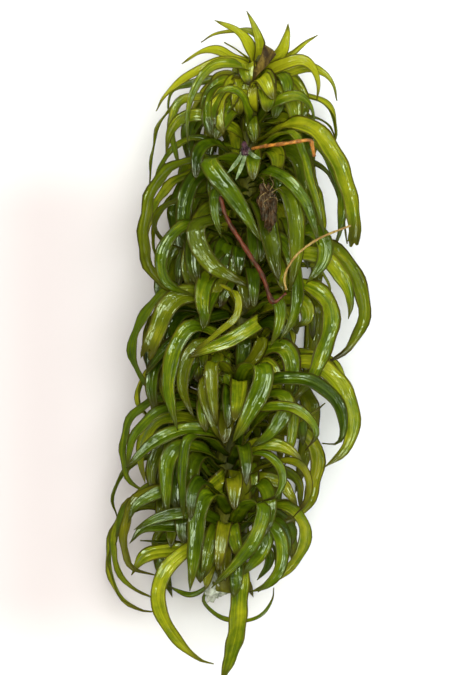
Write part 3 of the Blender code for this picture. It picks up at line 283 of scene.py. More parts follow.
        (1.1, -19.1, 20.5), (3.1, -19.1, 22), (3, -21.2, 22.5), (1.1, -24.9, 21.8), (-3.2, -29.4, 19.5),
    )),
    ("end_right_leaf_5", "w", 1.9, 30, -24.8, (
        (1.9, -22.9, 17.5), (3.6, -23.1, 18.5), (3.1, -25.4, 18.5), (0.5, -28.6, 17.3),
    )),
    ("end_right_leaf_7", "y", 2.4, 0, -27.9, (
        (-0.1, -26.6, 16), (0.4, -28.5, 17.5), (0.2, -31.6, 17), (-0.1, -35.4, 14.5), (-1, -39.1, 11.5),
        (-2, -42.1, 9),
    )),
)

# The names of the leaves of the tip start like this
CROWN_NAME = "crown_leaf"

# The young leaves of the tip and the smaller leaves between the big ones
YOUNG_LEAVES = (
    ("crown_leaf_m", "d", 2.5, 0, 27.6, (
        (0.9, 29.6, 17.8), (0.1, 31.6, 20), (-1.1, 33.1, 21), (-2.9, 33.1, 20.5), (-4.2, 31.8, 19),
    )),
    ("crown_leaf_k", "d", 1.6, 30, 33.6, (
        (-0.1, 34.6, 17), (-2.6, 34.6, 17.5), (-4.5, 32.9, 17.5), (-5.8, 30.2, 17.5), (-6.2, 27.1, 16.5),
        (-6.1, 24.5, 15.5),
    )),
    ("crown_leaf_o", "d", 2.2, 0, 28.6, (
        (3.1, 30.2, 16.5), (4.9, 31.8, 18.5), (7.5, 32.5, 18.8), (9.2, 31.1, 18), (9.6, 29, 16.5),
        (9.4, 27.1, 15),
    )),
    ("crown_leaf_j", "y", 1.9, 0, 34.4, (
        (-0.6, 35.5, 15.5), (-4, 34.8, 16), (-7.1, 33.1, 15), (-9.1, 31.2, 13.5), (-10.1, 29.5, 12),
    )),
    ("crown_leaf_i", "y", 2.1, 0, 34.9, (
        (-0.2, 35.9, 13.5), (-2.4, 37, 14), (-4.6, 36.8, 13.5), (-6.9, 35.4, 12),
    )),
    ("crown_leaf_g", "y", 1.9, 30, 33.9, (
        (5.4, 35.1, 15), (7.9, 35.8, 15.5), (9.4, 34.9, 15), (10.1, 32.9, 14), (10, 30.8, 12.5),
    )),
    ("crown_leaf_a", "o", 1.5, 0, 35.6, ((2.8, 37.8, 14.5), (2.2, 39.9, 15), (1.2, 42, 14))),
    ("crown_leaf_b", "y", 2.0, 0, 35.6, ((1.2, 38.1, 15), (-0.1, 39.5, 15.5), (-2.8, 40.8, 14.5))),
    ("crown_leaf_c", "b", 1.1, 30, 35.6, (
        (3.1, 37.9, 12.8), (1.8, 39.4, 13.2), (-0.1, 39.5, 12.8), (-2.8, 39.1, 12), (-4.5, 38.1, 11),
    )),
    ("crown_leaf_d", "o", 1.1, 30, 35.4, ((0.1, 37.1, 11.5), (-1.6, 38.1, 11))),
    ("crown_leaf_e", "y", 2.4, 0, 35.1, ((5.4, 36.9, 14), (6.1, 38.6, 14.5), (6.4, 40.4, 13.5))),
    ("crown_leaf_f", "y", 1.6, 0, 34.6, ((6, 36.1, 12), (8.1, 37.8, 12), (10.1, 39, 11))),
    ("crown_leaf_h", "g", 1.8, 30, 33.1, (
        (6, 34.1, 13), (8.8, 34.9, 13), (10.8, 34.2, 12.5), (12, 32.8, 12), (12.5, 30.8, 11),
    )),
    ("crown_leaf_l", "d", 1.5, 30, 32.6, (
        (-2.8, 33.4, 11), (-5.9, 32.9, 10.5), (-8, 32.1, 10), (-8.6, 30, 9), (-8.1, 28.1, 8.5),
    )),
    ("crown_leaf_n", "y", 2.5, 30, 30.4, (
        (-0.2, 31.9, 13), (-2.8, 32.4, 13.5), (-4.6, 31.1, 13), (-5.9, 29, 12),
    )),
    ("crown_leaf_p", "g", 1.8, 30, 28.4, (
        (3.9, 30.4, 15), (5.9, 31.1, 15.5), (7.2, 29.6, 15), (7.9, 26.5, 13.5),
    )),
    ("upper_left_leaf_4", "g", 1.5, 32, 24.6, (
        (-2.4, 25.4, 12), (-5.9, 26, 11.5), (-8.9, 23.6, 11), (-10.6, 19.6, 10),
    )),
    ("upper_left_leaf_6", "y", 2.0, 20, 20.9, (
        (-2.8, 21.8, 12), (-6.8, 21.2, 12), (-9.4, 19, 11.5), (-10.9, 15.6, 11), (-11.4, 12.4, 10.5),
        (-10.6, 9.4, 10),
    )),
    ("upper_left_leaf_7", "y", 1.9, 20, 19, (
        (-3.9, 20, 10), (-7.8, 19, 9), (-9.9, 16.4, 8.5), (-10.5, 13.1, 8), (-9.8, 9.9, 7.5),
    )),
    ("upper_right_leaf_2", "g", 1.6, 30, 27.1, (
        (6, 28.6, 9), (9.4, 28.8, 8.5), (11.4, 27.9, 8), (12.4, 26.1, 7.5),
    )),
    ("upper_right_leaf_4", "d", 1.7, 30, 21.5, (
        (6.6, 23.4, 10), (11, 22.1, 9.5), (12.9, 18.1, 9.5), (13.8, 12.9, 9),
    )),
    ("upper_right_leaf_5", "g", 1.9, 30, 24.6, (
        (6.4, 26.6, 13.5), (9.8, 26.1, 14), (12, 23.1, 14), (13, 19.4, 13.5), (12.8, 15.1, 12.5),
        (11.8, 12.5, 12),
    )),
    ("upper_right_leaf_9", "y", 1.9, 26, 19.6, (
        (6, 21.1, 13), (8.9, 20.4, 13), (10.2, 17.8, 12.5), (10.6, 14.9, 12), (10.2, 12.4, 11),
    )),
    ("left_leaf_7", "g", 1.8, 30, -2.9, (
        (-1.9, -1, 18.5), (-4.4, -0.2, 20), (-6.1, -1.9, 20), (-6.8, -4.8, 19.5), (-6.2, -7.6, 18.5),
        (-5.2, -9.6, 18),
    )),
    ("right_leaf_3", "y", 1.6, 30, 7.8, (
        (6.6, 9.9, 10.5), (9.9, 9.9, 10), (11.4, 8, 10), (11.6, 5.9, 9.5),
    )),
    ("right_leaf_9", "g", 1.7, 25, 3.6, (
        (3.1, 5.4, 20), (4.8, 5.8, 21.8), (5.4, 4.4, 22.2), (5, 2.1, 21.8), (4.1, -0.1, 20.8),
    )),
    ("right_leaf_10", "b", 2.4, 60, -2.9, (
        (3.1, -0.6, 15.5), (5.6, 0, 17), (6.8, -1.8, 17), (6.6, -4.8, 16.8), (6.1, -6.9, 16),
    )),
    ("middle_leaf_1", "g", 1.8, 0, -4.8, (
        (-1.9, -2.9, 18.5), (-3.1, -2.6, 20), (-3.1, -4.8, 20.5), (-2.9, -7.6, 20.5), (-2.5, -10.5, 19.5),
    )),
    ("middle_leaf_2", "g", 1.6, 30, -6.6, (
        (-3, -4.9, 17.5), (-5, -4.6, 19), (-5.5, -6.4, 19.3), (-4.2, -10.1, 19), (-2.4, -13.1, 18),
    )),
    ("lower_left_leaf_1", "y", 1.8, 33, -3.1, (
        (-4.6, -1.9, 10), (-9.2, -2.1, 9.5), (-11.8, -4.2, 9), (-12.4, -6.6, 8.5), (-11.4, -8.4, 8.5),
        (-9.4, -9.2, 8),
    )),
    ("lower_left_leaf_4", "y", 2.1, 40, -10.9, (
        (-5.2, -9.1, 13), (-8.9, -8.9, 13.3), (-11, -10.6, 13.3), (-12, -13.6, 13), (-11.5, -17, 12.5),
    )),
    ("lower_left_leaf_8", "g", 1.9, 23, -16.4, (
        (-5.2, -14.9, 8), (-10.9, -14.4, 7), (-14.2, -16.4, 6.5), (-15.6, -19.5, 6), (-15, -22, 5.5),
    )),
    ("lower_left_leaf_10", "g", 1.7, 30, -19.8, (
        (-4.6, -18.8, 15), (-9, -19.1, 15.5), (-12.4, -20.8, 15.3), (-13.6, -23.1, 14.5),
    )),
    ("lower_right_leaf_2", "y", 2.3, 20, -3.1, (
        (6, -1.1, 10.5), (10.1, -0.9, 10), (12.8, -2.8, 9.7), (14.4, -6.9, 9.3), (14.6, -10.4, 9),
    )),
    ("lower_right_leaf_4", "o", 1.4, 35, -8.5, (
        (4.1, -9.1, 15.5), (7.6, -8.6, 17), (9.4, -7.6, 17), (11, -6.4, 16.3),
    )),
    ("lower_right_leaf_6", "y", 1.8, 25, -12.6, (
        (2.2, -11.1, 17), (4.6, -10.9, 18), (6.8, -11.8, 18), (8.2, -13.2, 17.5),
    )),
    ("lower_right_leaf_10", "o", 1.7, 45, -17.9, (
        (2.6, -16.4, 15), (5.4, -16.9, 15.7), (6.6, -18.4, 15.5), (7.6, -20, 14.8),
    )),
    ("lower_right_leaf_11", "b", 1.5, 16, -16.6, (
        (3.1, -14.4, 17.5), (6.4, -13.6, 19), (8.2, -14.4, 19.3), (8.9, -16.6, 19.3), (8.4, -18.9, 18.5),
        (7, -20.6, 18),
    )),
    ("end_left_leaf_4", "g", 1.6, 30, -21.6, ((-4.6, -20.1, 17.5), (-9, -20.4, 18), (-12.9, -22.2, 17.3))),
    ("end_left_leaf_5", "g", 1.6, 30, -24.1, (
        (-4, -22.9, 14.5), (-7.4, -22.5, 15), (-11.4, -22.6, 15), (-13.4, -24.5, 14.5),
    )),
    ("end_left_leaf_6", "d", 1.1, 30, -26, ((-4.6, -24.8, 11.5), (-9, -24.4, 11.7), (-12.1, -24.2, 11.7))),
    ("end_left_leaf_7", "y", 2.5, 30, -26.6, (
        (-4.6, -25.1, 13), (-8.4, -24.9, 13), (-11.5, -25.6, 12.8), (-13.2, -27.9, 12.3),
    )),
    ("end_left_leaf_10", "y", 1.5, 0, -26.6, ((-2.9, -26, 14.5), (-3.6, -27.2, 15), (-3.9, -29.1, 14.5))),
    ("end_left_leaf_12", "b", 0.9, 30, -28.5, ((-4, -30.1, 11), (-6.1, -30.9, 10.8), (-8.6, -29.9, 10.3))),
    ("end_right_leaf_3", "b", 2.3, 65, -22.6, (
        (2.9, -21.1, 9.5), (5.5, -21.4, 9), (6.8, -23.2, 8.8), (6.5, -25.4, 8.5),
    )),
    ("end_right_leaf_6", "g", 1.5, 30, -25.4, (
        (1.9, -24.1, 15), (3.8, -24.5, 15.7), (3.8, -26.2, 15.5), (2.5, -27.9, 15),
    )),
    ("middle_leaf_0", "g", 2.3, 0, -0.6, (
        (2.1, 0.8, 16), (3.1, 0.1, 17), (1.9, -2, 17.2), (-0.1, -4.1, 16.6),
    )),
    ("torn_leaf_1", "o", 3.0, 0, -15.4, ((-1.5, -16.1, 16.4), (-2.6, -17, 16.8), (-3.6, -18, 16.4))),
    ("torn_leaf_2", "o", 3.0, 0, -16.8, ((0.8, -17.5, 16.2), (1.1, -18.5, 16.4), (1.1, -19.5, 16))),
)

# The short inner leaves in a spiral round the stem
INNER_LEAF_COUNT = 38
INNER_LEAF_TURN = 137.5
INNER_LEAF_WIDTH = 1.9
INNER_LEAF_START = -28.0
INNER_LEAF_END = 33.0
INNER_LEAF_CURL = ((2.0, 1.6), (4.6, 2.6), (6.6, 1.0), (7.0, -2.4))
INNER_LEAF_LOWEST = 1.0
INNER_LEAF_TILT = 45
YOUNG_FROM = 0.8
YOUNG_SHRINK = 0.35

# The leaves pressed flat under the stem: each row gives the height, and in millimetres how far the leaf
# goes out, back and aside. The bend gives the shares of out, aside and back, and the way forward and up.
FLOOR_LEAVES = (
    (32.0, 3.0, 8.0, 0.5), (29.5, -4.5, 8.5, -1.0), (27.0, 6.5, 9.0, 1.0), (24.0, -2.0, 9.0, 2.0),
    (21.5, -7.5, 10.0, 0.0), (19.0, 3.5, 9.5, -1.5), (16.0, 8.0, 10.5, 0.5), (13.0, -4.0, 10.0, 1.0),
    (10.0, -8.5, 10.5, 1.0), (7.0, 1.0, 10.0, 1.5), (4.5, 8.5, 11.0, -1.0), (1.5, -3.0, 10.5, -1.0),
    (-1.5, -9.0, 11.0, 0.5), (-4.5, 4.0, 10.5, 1.5), (-7.5, 9.0, 11.0, -1.5), (-10.5, -1.5, 10.0, -2.0),
    (-13.5, -8.5, 11.0, 1.0), (-16.5, 5.0, 10.5, -0.5), (-19.5, -4.5, 10.0, 0.5), (-21.5, 7.0, 6.0, 1.0),
    (-25.5, -8.0, 6.0, 1.0), (-27.5, 1.5, 4.0, 2.0),
)
FLOOR_LEAF_WIDTH = 2.4
FLOOR_LEAF_BEND = (
    (0.35, 0.0, 0.0, 1.8, 7.6), (0.8, 0.0, 0.0, 2.4, 3.8), (1.0, 0.0, 0.0, 1.2, 0.7),
    (1.05, 0.0, 0.0, -1.5, 0.1), (1.05, 0.6, 0.6, 0.0, 0.1), (1.0, 1.0, 1.0, 0.0, 0.1),
)

# Thin leaves of the inside that have no solid of their own. They fill the spaces between the solid ones.
# Each curl lists how far out from the stem and how far along it the leaf has got, in millimetres.
EXTRA_GAP = 0.04 * MM
EXTRA_TRIES = 50
EXTRA_TILT = 58
LOWEST_EXTRA = 0.7
SIDE_CURLS = (
    ((2.0, 1.8), (5.0, 3.2), (8.0, 2.0), (9.4, -1.4), (9.2, -5.0), (7.4, -8.4)),
    ((2.4, 1.0), (5.6, 1.6), (8.4, -0.6), (9.6, -4.0), (9.0, -7.6)),
    ((1.8, 2.0), (3.8, 4.2), (6.6, 4.8), (8.6, 2.6), (9.2, -0.8), (8.6, -4.0)),
)
SHORT_CURLS = (
    ((1.6, 1.8), (3.8, 3.0), (5.8, 1.8), (6.6, -1.2), (6.0, -4.0)),
    ((1.4, 1.2), (3.0, 2.4), (4.8, 1.4), (5.2, -1.6)),
    ((2.0, 1.2), (4.4, 1.6), (6.4, -0.6), (7.2, -3.6)),
)
FRONT_CURLS = (
    ((1.0, 1.0), (2.4, 1.6), (3.4, 0.4), (3.4, -1.8), (2.6, -4.0)),
    ((0.8, 1.6), (1.8, 3.0), (3.0, 3.2), (3.6, 1.4), (3.2, -0.8)),
    ((0.6, 1.4), (1.2, 3.2), (2.2, 4.8), (3.4, 5.4)),
)

# The kinds of these leaves. Each leaf stands turn_on degrees round the stem from the one before it, and a
# turn of its own further, which goes left and right by turns where the kind has two hands. The inset keeps
# the row of leaves off both ends of the stem, and least_reach is how far those at the cut end reach.
# Their tints are mostly dark, inner and olive: the dark and inner ones are painted shade for leaves deep in
# the shoot
EXTRA_KINDS = (
    {
        "name": "side_leaf", "tints": "dgid", "count": 380, "inset": 0.5, "curls": SIDE_CURLS,
        "turn_on": 0, "turn": (48, 118), "two_hands": True,
        "reach": (0.8, 1.05), "least_reach": 0.62, "width": (1.9, 2.6), "aside": 2,
    },
    {
        "name": "short_leaf", "tints": "dgioo", "count": 380, "inset": 0, "curls": SHORT_CURLS,
        "turn_on": 99.5, "turn": (-15, 15), "two_hands": False,
        "reach": (0.8, 1.1), "least_reach": 1.0, "width": (1.8, 2.6), "aside": 2,
    },
    {
        "name": "front_leaf", "tints": "doigbo", "count": 150, "inset": 0, "curls": FRONT_CURLS,
        "turn_on": 0, "turn": (-55, 55), "two_hands": False,
        "reach": (0.8, 1.15), "least_reach": 1.0, "width": (2.0, 2.9), "aside": 3,
    },
)

# How far the extra leaves may reach to the left and right: each row gives a height and the two limits
EXTRA_LIMITS = (
    (-33.0, -3.0, 1.5), (-29.0, -5.0, 3.0), (-26.0, -8.0, 5.0), (-20.0, -14.0, 6.0), (-15.0, -13.5, 5.0),
    (-11.5, -12.5, 4.5), (-7.0, -12.0, 10.0), (0.0, -12.0, 8.0), (5.0, -10.5, 7.5), (9.0, -10.0, 8.0),
    (13.5, -11.5, 9.5), (18.5, -11.0, 10.5), (23.0, -9.5, 10.0), (27.0, -7.5, 10.0), (31.0, -5.0, 9.5),
    (34.0, -2.5, 8.0), (37.0, 0.0, 5.5),
)

# Where the paper shows between the leaves: the left, bottom, right and top of each spot
OPEN_SPOTS = (
    (-7.0, 23.4, -2.8, 26.0), (-10.2, 13.4, -8.2, 17.0), (-10.2, 12.2, -9.4, 13.5),
    (-8.0, 12.2, -6.3, 13.8), (-8.8, 10.8, -6.3, 12.4), (11.0, 14.5, 12.3, 18.9),
    (8.5, 13.6, 9.8, 15.9), (7.9, 8.1, 9.8, 10.1), (-8.4, 2.6, -6.6, 4.4),
    (-7.5, -4.3, -4.3, -3.0), (-5.6, -6.1, -4.4, -4.6), (4.8, -15.5, 6.5, -10.0),
    (-11.5, -18.5, -10.0, -15.0), (-11.5, -25.5, -9.8, -22.5),
)

# How a leaf that would touch another was moved: the smallest of these steps that clears it
LIFTS = (0.0, 0.5, -0.5, 1.0, -1.0, 1.5, -1.5, 2.2, -2.2)
SLIDES = (0.0, 0.6, -0.6, 1.2, -1.2)
TURNS = (0, 6, -6, 12, -12)
TIP_LIFTS = (0.0, 1.2, -1.2)
TURN_COST = 0.3
TIP_COST = 0.6

# The leaf at the tip that has withered and folded, and the one that is broken off short
WITHERED_LEAF = (
    "withered_leaf", "b", 2.3, 0, 32.6, ((2.2, 33.8, 15.4), (3.3, 35.5, 17.0), (4.3, 37.1, 17.6)),
)
BROKEN_LEAF = (
    "broken_leaf", "p", 1.5, 0, 29.4, ((1.9, 29.9, 17.2), (1.9, 31.0, 18.6), (1.9, 32.4, 19.0)),
)

# The leaves that end in a torn or broken edge
BLUNT_LEAVES = ("upper_right_leaf_3", "left_leaf_2", "torn_leaf_1", "torn_leaf_2", "broken_leaf")

# For each tint, how yellow and how browned a leaf is, from 0 to 1
# The inner tint is dark as painted shade for the leaves that lie deep in the shoot, and partly browned
TINTS = {
    "y": (0.72, 0.3), "g": (0.42, 0.2), "d": (0.2, 0.2), "o": (0.6, 0.6), "b": (0.48, 0.95),
    "w": (0.4, 0.1), "p": (0.75, 0.2), "i": (0.22, 0.4), "f": (0.5, 0.3),
}

# The seeds of the random draws
LEAF_SEEDS = {"own": 5, "young": 6, "floor": 7, "inner": 8, "extra": 9}
EXTRA_SEED = 11
STRIP_SEED = 3

# How much the drawn blades differ from one another, and how their margins are made
FOLDS = (0.5, 1.4)
WAVE_STRETCHES = (0.8, 1.4)
TORN_ENDS = (-0.05, 0.02)
TONE_SPREAD = 0.08
WAVES_FROM = 0.2
MARGIN_THINNING = 0.6
MIDRIB_REACH = 0.01

# Thread-like stalks of spent flowers: the name, the slot, the radius, the main and the dark colour, and
# the points
STALKS = (
    ("orange_flower_stalk", "orange_stalk", 0.27, (0.4, 0.16, 0.02), (0.13, 0.045, 0.008), (
        (1.9, 24.7, 20.2), (3.6, 25.0, 22.6), (6.0, 25.3, 23.9), (8.9, 25.7, 23.9), (9.3, 25.1, 23.8),
        (9.6, 23.7, 23.4),
    )),
    ("red_flower_stalk", "red_stalk", 0.32, (0.1, 0.018, 0.006), (0.028, 0.007, 0.003), (
        (-2.1, 18.7, 23.2), (-1.2, 15.9, 23.9), (1.0, 12.3, 24.4), (3.1, 9.0, 24.0), (4.4, 5.7, 23.6),
        (6.1, 6.7, 23.9),
    )),
    ("straw_flower_stalk", "straw_stalk", 0.17, (0.33, 0.24, 0.07), (0.18, 0.1, 0.025), (
        (14.1, 15.1, 20.4), (10.4, 13.6, 23.6), (7.9, 11.9, 25.3), (6.5, 10.2, 25.0), (5.9, 8.6, 24.4),
        (6.1, 7.1, 23.9),
    )),
)
STALK_ROOT_SHARE = 0.8
STALK_SLIMNESS = 0.85

# The red stalk swells to a knob where its thinner end bends off
KNOBBED_STALK = "red_flower_stalk"
KNOB_PLACE = 0.875
KNOB_LENGTH = 0.03
KNOB_SWELL = 0.45
KNOB_THINNING = 0.35

# How uneven the stem and the stalks are: the height and the pace of each set of swellings
STEM_SWELLS = ((0.05, 60.0), (0.03, 23.0))
STALK_SWELLS = ((0.12, 31.0), (0.08, 77.0))

# The sides and the steps of each kind of tube
STEM_MESH = (24, 120)
STALK_MESH = (12, 70)
THREAD_MESH = (8, 14)

# The knot of the spent flower and its strips, and the lumps of dead matter
FLOWER_PLACE = (1.0, 24.5, 19.9)
FLOWER_HALF_SIZE = (0.55, 0.9, 0.6)
FLOWER_STRIP_WIDTH = 0.5
FLOWER_STRIPS = (
    ((0.8, 24.4, 19.7), (0.1, 23.2, 21.0), (-1.2, 21.6, 21.8)),
    ((1.1, 24.2, 19.7), (0.6, 22.6, 21.2), (-0.2, 20.7, 21.9)),
    ((1.3, 24.4, 20.1), (2.1, 23.8, 21.4), (3.0, 23.4, 21.9)),
)
BROWN_PLACE = (3.85, 17.3, 23.3)
BROWN_HALF_SIZE = (1.2, 2.9, 0.7)
BROWN_TAPER = 0.55
PALE_PLACE = (-2.6, -29.6, 13.2)
PALE_HALF_SIZE = (1.3, 2.0, 0.9)
BROWN_THREADS = (
    ((3.9, 19.4, 23.8), (3.4, 20.1, 24.2), (3.2, 20.9, 24.3), (2.7, 21.2, 24.0)),
    ((4.1, 19.5, 23.8), (4.5, 20.3, 24.3), (4.1, 21.1, 24.2), (4.3, 21.6, 23.9)),
    ((4.3, 19.2, 23.8), (5.2, 19.7, 24.3), (5.7, 19.2, 24.1)),
    ((4.0, 18.6, 24.1), (4.9, 18.5, 24.4), (5.0, 17.7, 24.3)),
    ((3.6, 19.2, 23.9), (2.9, 18.7, 24.2), (2.6, 17.6, 24.0)),
    ((3.8, 18.4, 24.1), (3.3, 17.9, 24.4), (3.5, 17.2, 24.3)),
)
BROWN_THREAD_RADIUS = 0.05
BROWN_THREAD_ROOT = 1.2

# How a lump is pushed in and out and wrinkled
LUMP_FINENESS = 5
LOBE_DEPTH = 0.22
LOBE_PHASE = 0.7
WRINKLE_DEPTH = 0.1
WRINKLES_UP = 5
WRINKLES_ROUND = 2
CRUMB_SCALE = 3.1
FINE_CRUMB_SCALE = 7.3
FINE_CRUMB_SHARE = 0.5

# The patterns on a wet leaf. A stretch is how often a pattern repeats across the blade, along it and from
# leaf to leaf. A tone is what a pattern is multiplied by, and what is added, before it shades the leaf.
VEIN_STRETCH = (15.0, 2.2, 9.0)
VEIN_TONE = (1.2, -0.6)
BAND_STRETCH = (4.0, 2.4, 9.0)
BAND_TONE = (0.5, -0.27)
PATCH_SCALE = 380.0
PATCH_TONE = (1.1, -0.55)
GRAIN = 0.65

# Ranges: where a value starts and ends, and what it becomes there. The young tip of the shoot is lighter,
# and the middle of a blade too. A lighter line along the margin of a blade is a painted rim light.
TIP_LIGHT = (22 * MM, 35 * MM, 0.0, 0.38)
MIDRIB_LIGHT = (0.0, 0.8, 0.03, -0.06)
PAINTED_RIM_LIGHT = (0.72, 0.84, 0.0, 0.12)
GREEN_AT = 0.45
YELLOW_AT = 0.95

# The browned margin, the browned tip and the speckles, and how they follow a leaf's browning
BROWN_EDGE = (0.88, 1.0)
RIM_RAGGEDNESS = 0.2
RIM_BROWNING = (0.3, 0.7)
TIP_RAGGEDNESS = 0.12
TIP_BROWNING = (0.5, 0.5)
SPECKLE_SCALE = 800.0
SPECKLE_RANGE = (0.5, 0.75)
SPECKLE_BROWNING = 0.6

# Which leaves have turned olive, by chance and by patches, and more of them among the older ones
TURNED_RANGE = (0.75, 1.35)
TURNED_PATCHES = 0.5
OLDER_RANGE = (-30 * MM, 28 * MM, 0.75, 0.2)

# The blade's own surface, and the wet film that shows where the blade faces the eye
LEAF_ROUGHNESS = 0.5
LEAF_SPECULAR = 0.04
WET_RANGE = (0.12, 0.34, 1.0, 0.0)
WET_ROUGHNESS = 0.04
WET_IOR = 1.6
RIB_STRETCH = (5.0, 0.7, 9.0)
RIB_RELIEF = 3.0
FILM_STRETCH = (1.6, 5.0, 9.0)
FILM_RELIEF = 1.0
CRUMPLE_SCALE = 420.0
CRUMPLE_RELIEF = 4.0
RELIEF_DEPTH = 0.085 * MM

# The light that comes through a leaf
THROUGH_SHARE = 0.34
THROUGH_COLOUR = (0.6, 0.66, 0.01)
THROUGH_PURITY = 0.45

# The dead and woody skins: the main colour, the dark colour, how fine the specks are, how they are
# stretched, how rough the skin is and how much of a wet coat it has. The stem's main colour is a setting.
EVEN = (1.0, 1.0, 1.0)
LENGTHWISE = (1.0, 0.3, 1.0)
WITHERED_SKIN = ((0.17, 0.12, 0.02), (0.022, 0.011, 0.004), 900.0, LENGTHWISE, 0.6, 0.0)
STEM_SKIN = ((0.035, 0.036, 0.003), 500.0, LENGTHWISE, 0.6, 0.0)
STALK_SKIN = (1400.0, (1.0, 0.5, 1.0), 0.55, 0.2)
KNOT_SKIN = ((0.08, 0.03, 0.045), (0.015, 0.006, 0.01), 1800.0, EVEN, 0.5, 0.3)
STRIP_SKIN = ((0.26, 0.33, 0.18), (0.06, 0.1, 0.03), 1500.0, EVEN, 0.4, 0.2)
BROWN_SKIN = ((0.055, 0.026, 0.008), (0.012, 0.006, 0.002), 1500.0, EVEN, 0.5, 0.1)
THREAD_SKIN = ((0.26, 0.19, 0.07), (0.07, 0.04, 0.012), 1500.0, EVEN, 0.5, 0.2)
PALE_SKIN = ((0.4, 0.42, 0.36), (0.14, 0.16, 0.1), 900.0, EVEN, 0.3, 0.6)
SPECK_RANGE = (0.35, 0.68)
FINE_SPECKS = 2.7
PALE_SPECK_RANGE = (0.6, 0.8, 0.0, 0.5)
PALE_SPECK_GAIN = 2.2
SKIN_SPECULAR = 0.1
SKIN_COAT_ROUGHNESS = 0.2
SKIN_ROUGHNESS_RANGE = (0.3, 0.7)
SKIN_ROUGHNESS_SPREAD = 0.1
SKIN_RELIEF = 0.8
SKIN_RELIEF_DEPTH = 0.3 * MM

# The paper, and the four sides of its painted shade, the darker colour that stands in for the shadow to the
# left of the shoot: where the shade starts and stops changing, and how much of it there is at these places
PAPER_SIZE = 3.0
PAPER_DEPTH = 0.02 * MM
PAPER_LEFT = (-50 * MM, -24 * MM, 0.0, 1.0)
PAPER_RIGHT = (-25 * MM, 0.0, 1.0, 0.0)
PAPER_TOP = (16 * MM, 34 * MM, 1.0, 0.0)
PAPER_BOTTOM = (-46 * MM, -30 * MM, 0.25, 1.0)
PAPER_ROUGHNESS = 0.9
PAPER_SPECULAR = 0.1

# The lights: the name, its power setting, the colour, the place and the size. Wet leaves don't mirror them.
LIGHTS = (
    ("key_light", "key_power", (0.97, 1.0, 0.93), (0.08, 0.08, 0.6), 0.42),
    ("fill_light", "fill_power", (1.0, 0.9, 0.78), (-0.5, -0.15, 0.3), 0.4),
    ("side_light", "side_power", (0.95, 0.98, 1.0), (0.5, 0.2, 0.25), 0.3),
)

# The cards that wet leaves mirror: the name, the share of the card power, the place and the size
GLINT_CARDS = (
    ("right_card", 1.0, (0.08, 0.08, 0.6), 0.46),
    ("left_card", 0.26, (-0.22, 0.16, 0.52), 0.25),
    ("near_card", 0.16, (0.1, -0.24, 0.52), 0.2),
)
GLINT_COLOUR = (0.84, 1.0, 0.72)

# The light from all round, what of it is mirrored, and what the camera sees of it
SKY_LIGHT = (0.5, 0.46, 0.38)
SKY_MIRRORED = (0.05, 0.05, 0.04)
SKY_SEEN = (0.95, 0.95, 0.95)

# The camera: the middle of the picture, the height that is seen at full scale, and how much of Y it shows
CAMERA_MIDDLE = (-1.5 * MM, 1.1875 * MM)
CAMERA_FOCUS_HEIGHT = 12.0 * MM
CAMERA_VIEW_HEIGHT = 84.375 * MM
CAMERA_SENSOR = 36.0
CAMERA_REACH = 20.0


def nudge_size(nudge):
    """How far a nudge moves a leaf, as a rough measure in millimetres."""
    lift, slide, turn, tip = nudge
    return abs(lift) + abs(slide) + TURN_COST * abs(turn) + TIP_COST * abs(tip)


NUDGES = sorted(itertools.product(LIFTS, SLIDES, TURNS, TIP_LIFTS), key=nudge_size)


def stem_at(height):
    """The stem's centre and radius where it is this high, in metres."""
    low = STEM_LINE[0]
    for high in STEM_LINE[1:]:
        if height <= high[1] or high is STEM_LINE[-1]:
            break
        low = high
    share = (height - low[1]) / (high[1] - low[1])
    centre = Vector(low).lerp(Vector(high), share) * MM
    length = STEM_LINE[-1][1] - STEM_LINE[0][1]
    along = min(1.0, max(0.0, (height - STEM_LINE[0][1]) / length))
    return centre, STEM_CUT_RADIUS + (STEM_TIP_RADIUS - STEM_CUT_RADIUS) * along ** STEM_TAPER


def in_metres(points):
    """Points given in millimetres, as vectors in metres."""
    return [Vector(point) * MM for point in points]


def smooth_route(points, steps):
    """Evenly spaced points on a smooth curve through the given ones."""
    ends = [points[0] * 2 - points[1], *points, points[-1] * 2 - points[-2]]
    fine = []
    for i in range(1, len(ends) - 2):
        before, start, end, after = ends[i - 1:i + 3]
        for k in range(CURVE_FINENESS):
            t = k / CURVE_FINENESS
            fine.append(
                0.5 * (
                    2 * start
                    + (end - before) * t
                    + (2 * before - 5 * start + 4 * end - after) * t ** 2
                    + (3 * start - before - 3 * end + after) * t ** 3
                )
            )
    fine.append(points[-1])
    reach = [0.0]
    for a, b in zip(fine, fine[1:]):
        reach.append(reach[-1] + (b - a).length)
    route = []
    i = 0
    for k in range(steps + 1):
        wanted = reach[-1] * k / steps
        while i < len(reach) - 2 and reach[i + 1] < wanted:
            i += 1
        share = (wanted - reach[i]) / (reach[i + 1] - reach[i])
        route.append(fine[i].lerp(fine[i + 1], min(1.0, share)))
    return route


def directions(route):
    """The direction of a route at each of its points."""
    behind = [route[0], *route[:-1]]
    ahead = [*route[1:], route[-1]]
    return [(b - a).normalized() for a, b in zip(behind, ahead)]


def step_count(points):
    """How many steps the solid of a leaf through these points has."""
    length = sum((Vector(b) - Vector(a)).length for a, b in zip(points, points[1:])) * MM
    return min(MOST_STEPS, max(FEWEST_STEPS, round(length / STEP_LENGTH)))


def rooted(height, points, fused):
    """A leaf's points with its root beside the stem, or buried in it, put first."""
    centre, radius = stem_at(height)
    outward = points[0] - centre
    outward.y = 0.0
    outward.normalize()
    start = radius * BURIED_SHARE if fused else radius + ROOT_GAP
    return [centre + outward * start, *points]


def strap_share(t, start, power, depth):
    """The width of a strap: a little narrower at its root, and tapering to its tip from the start on."""
    root = ROOT_WIDTH + (1.0 - ROOT_WIDTH) * min(1.0, t / ROOT_END)
    taper = max(0.0, t - start) / (1.0 - start)
    return root * (1.0 - depth * taper ** power)


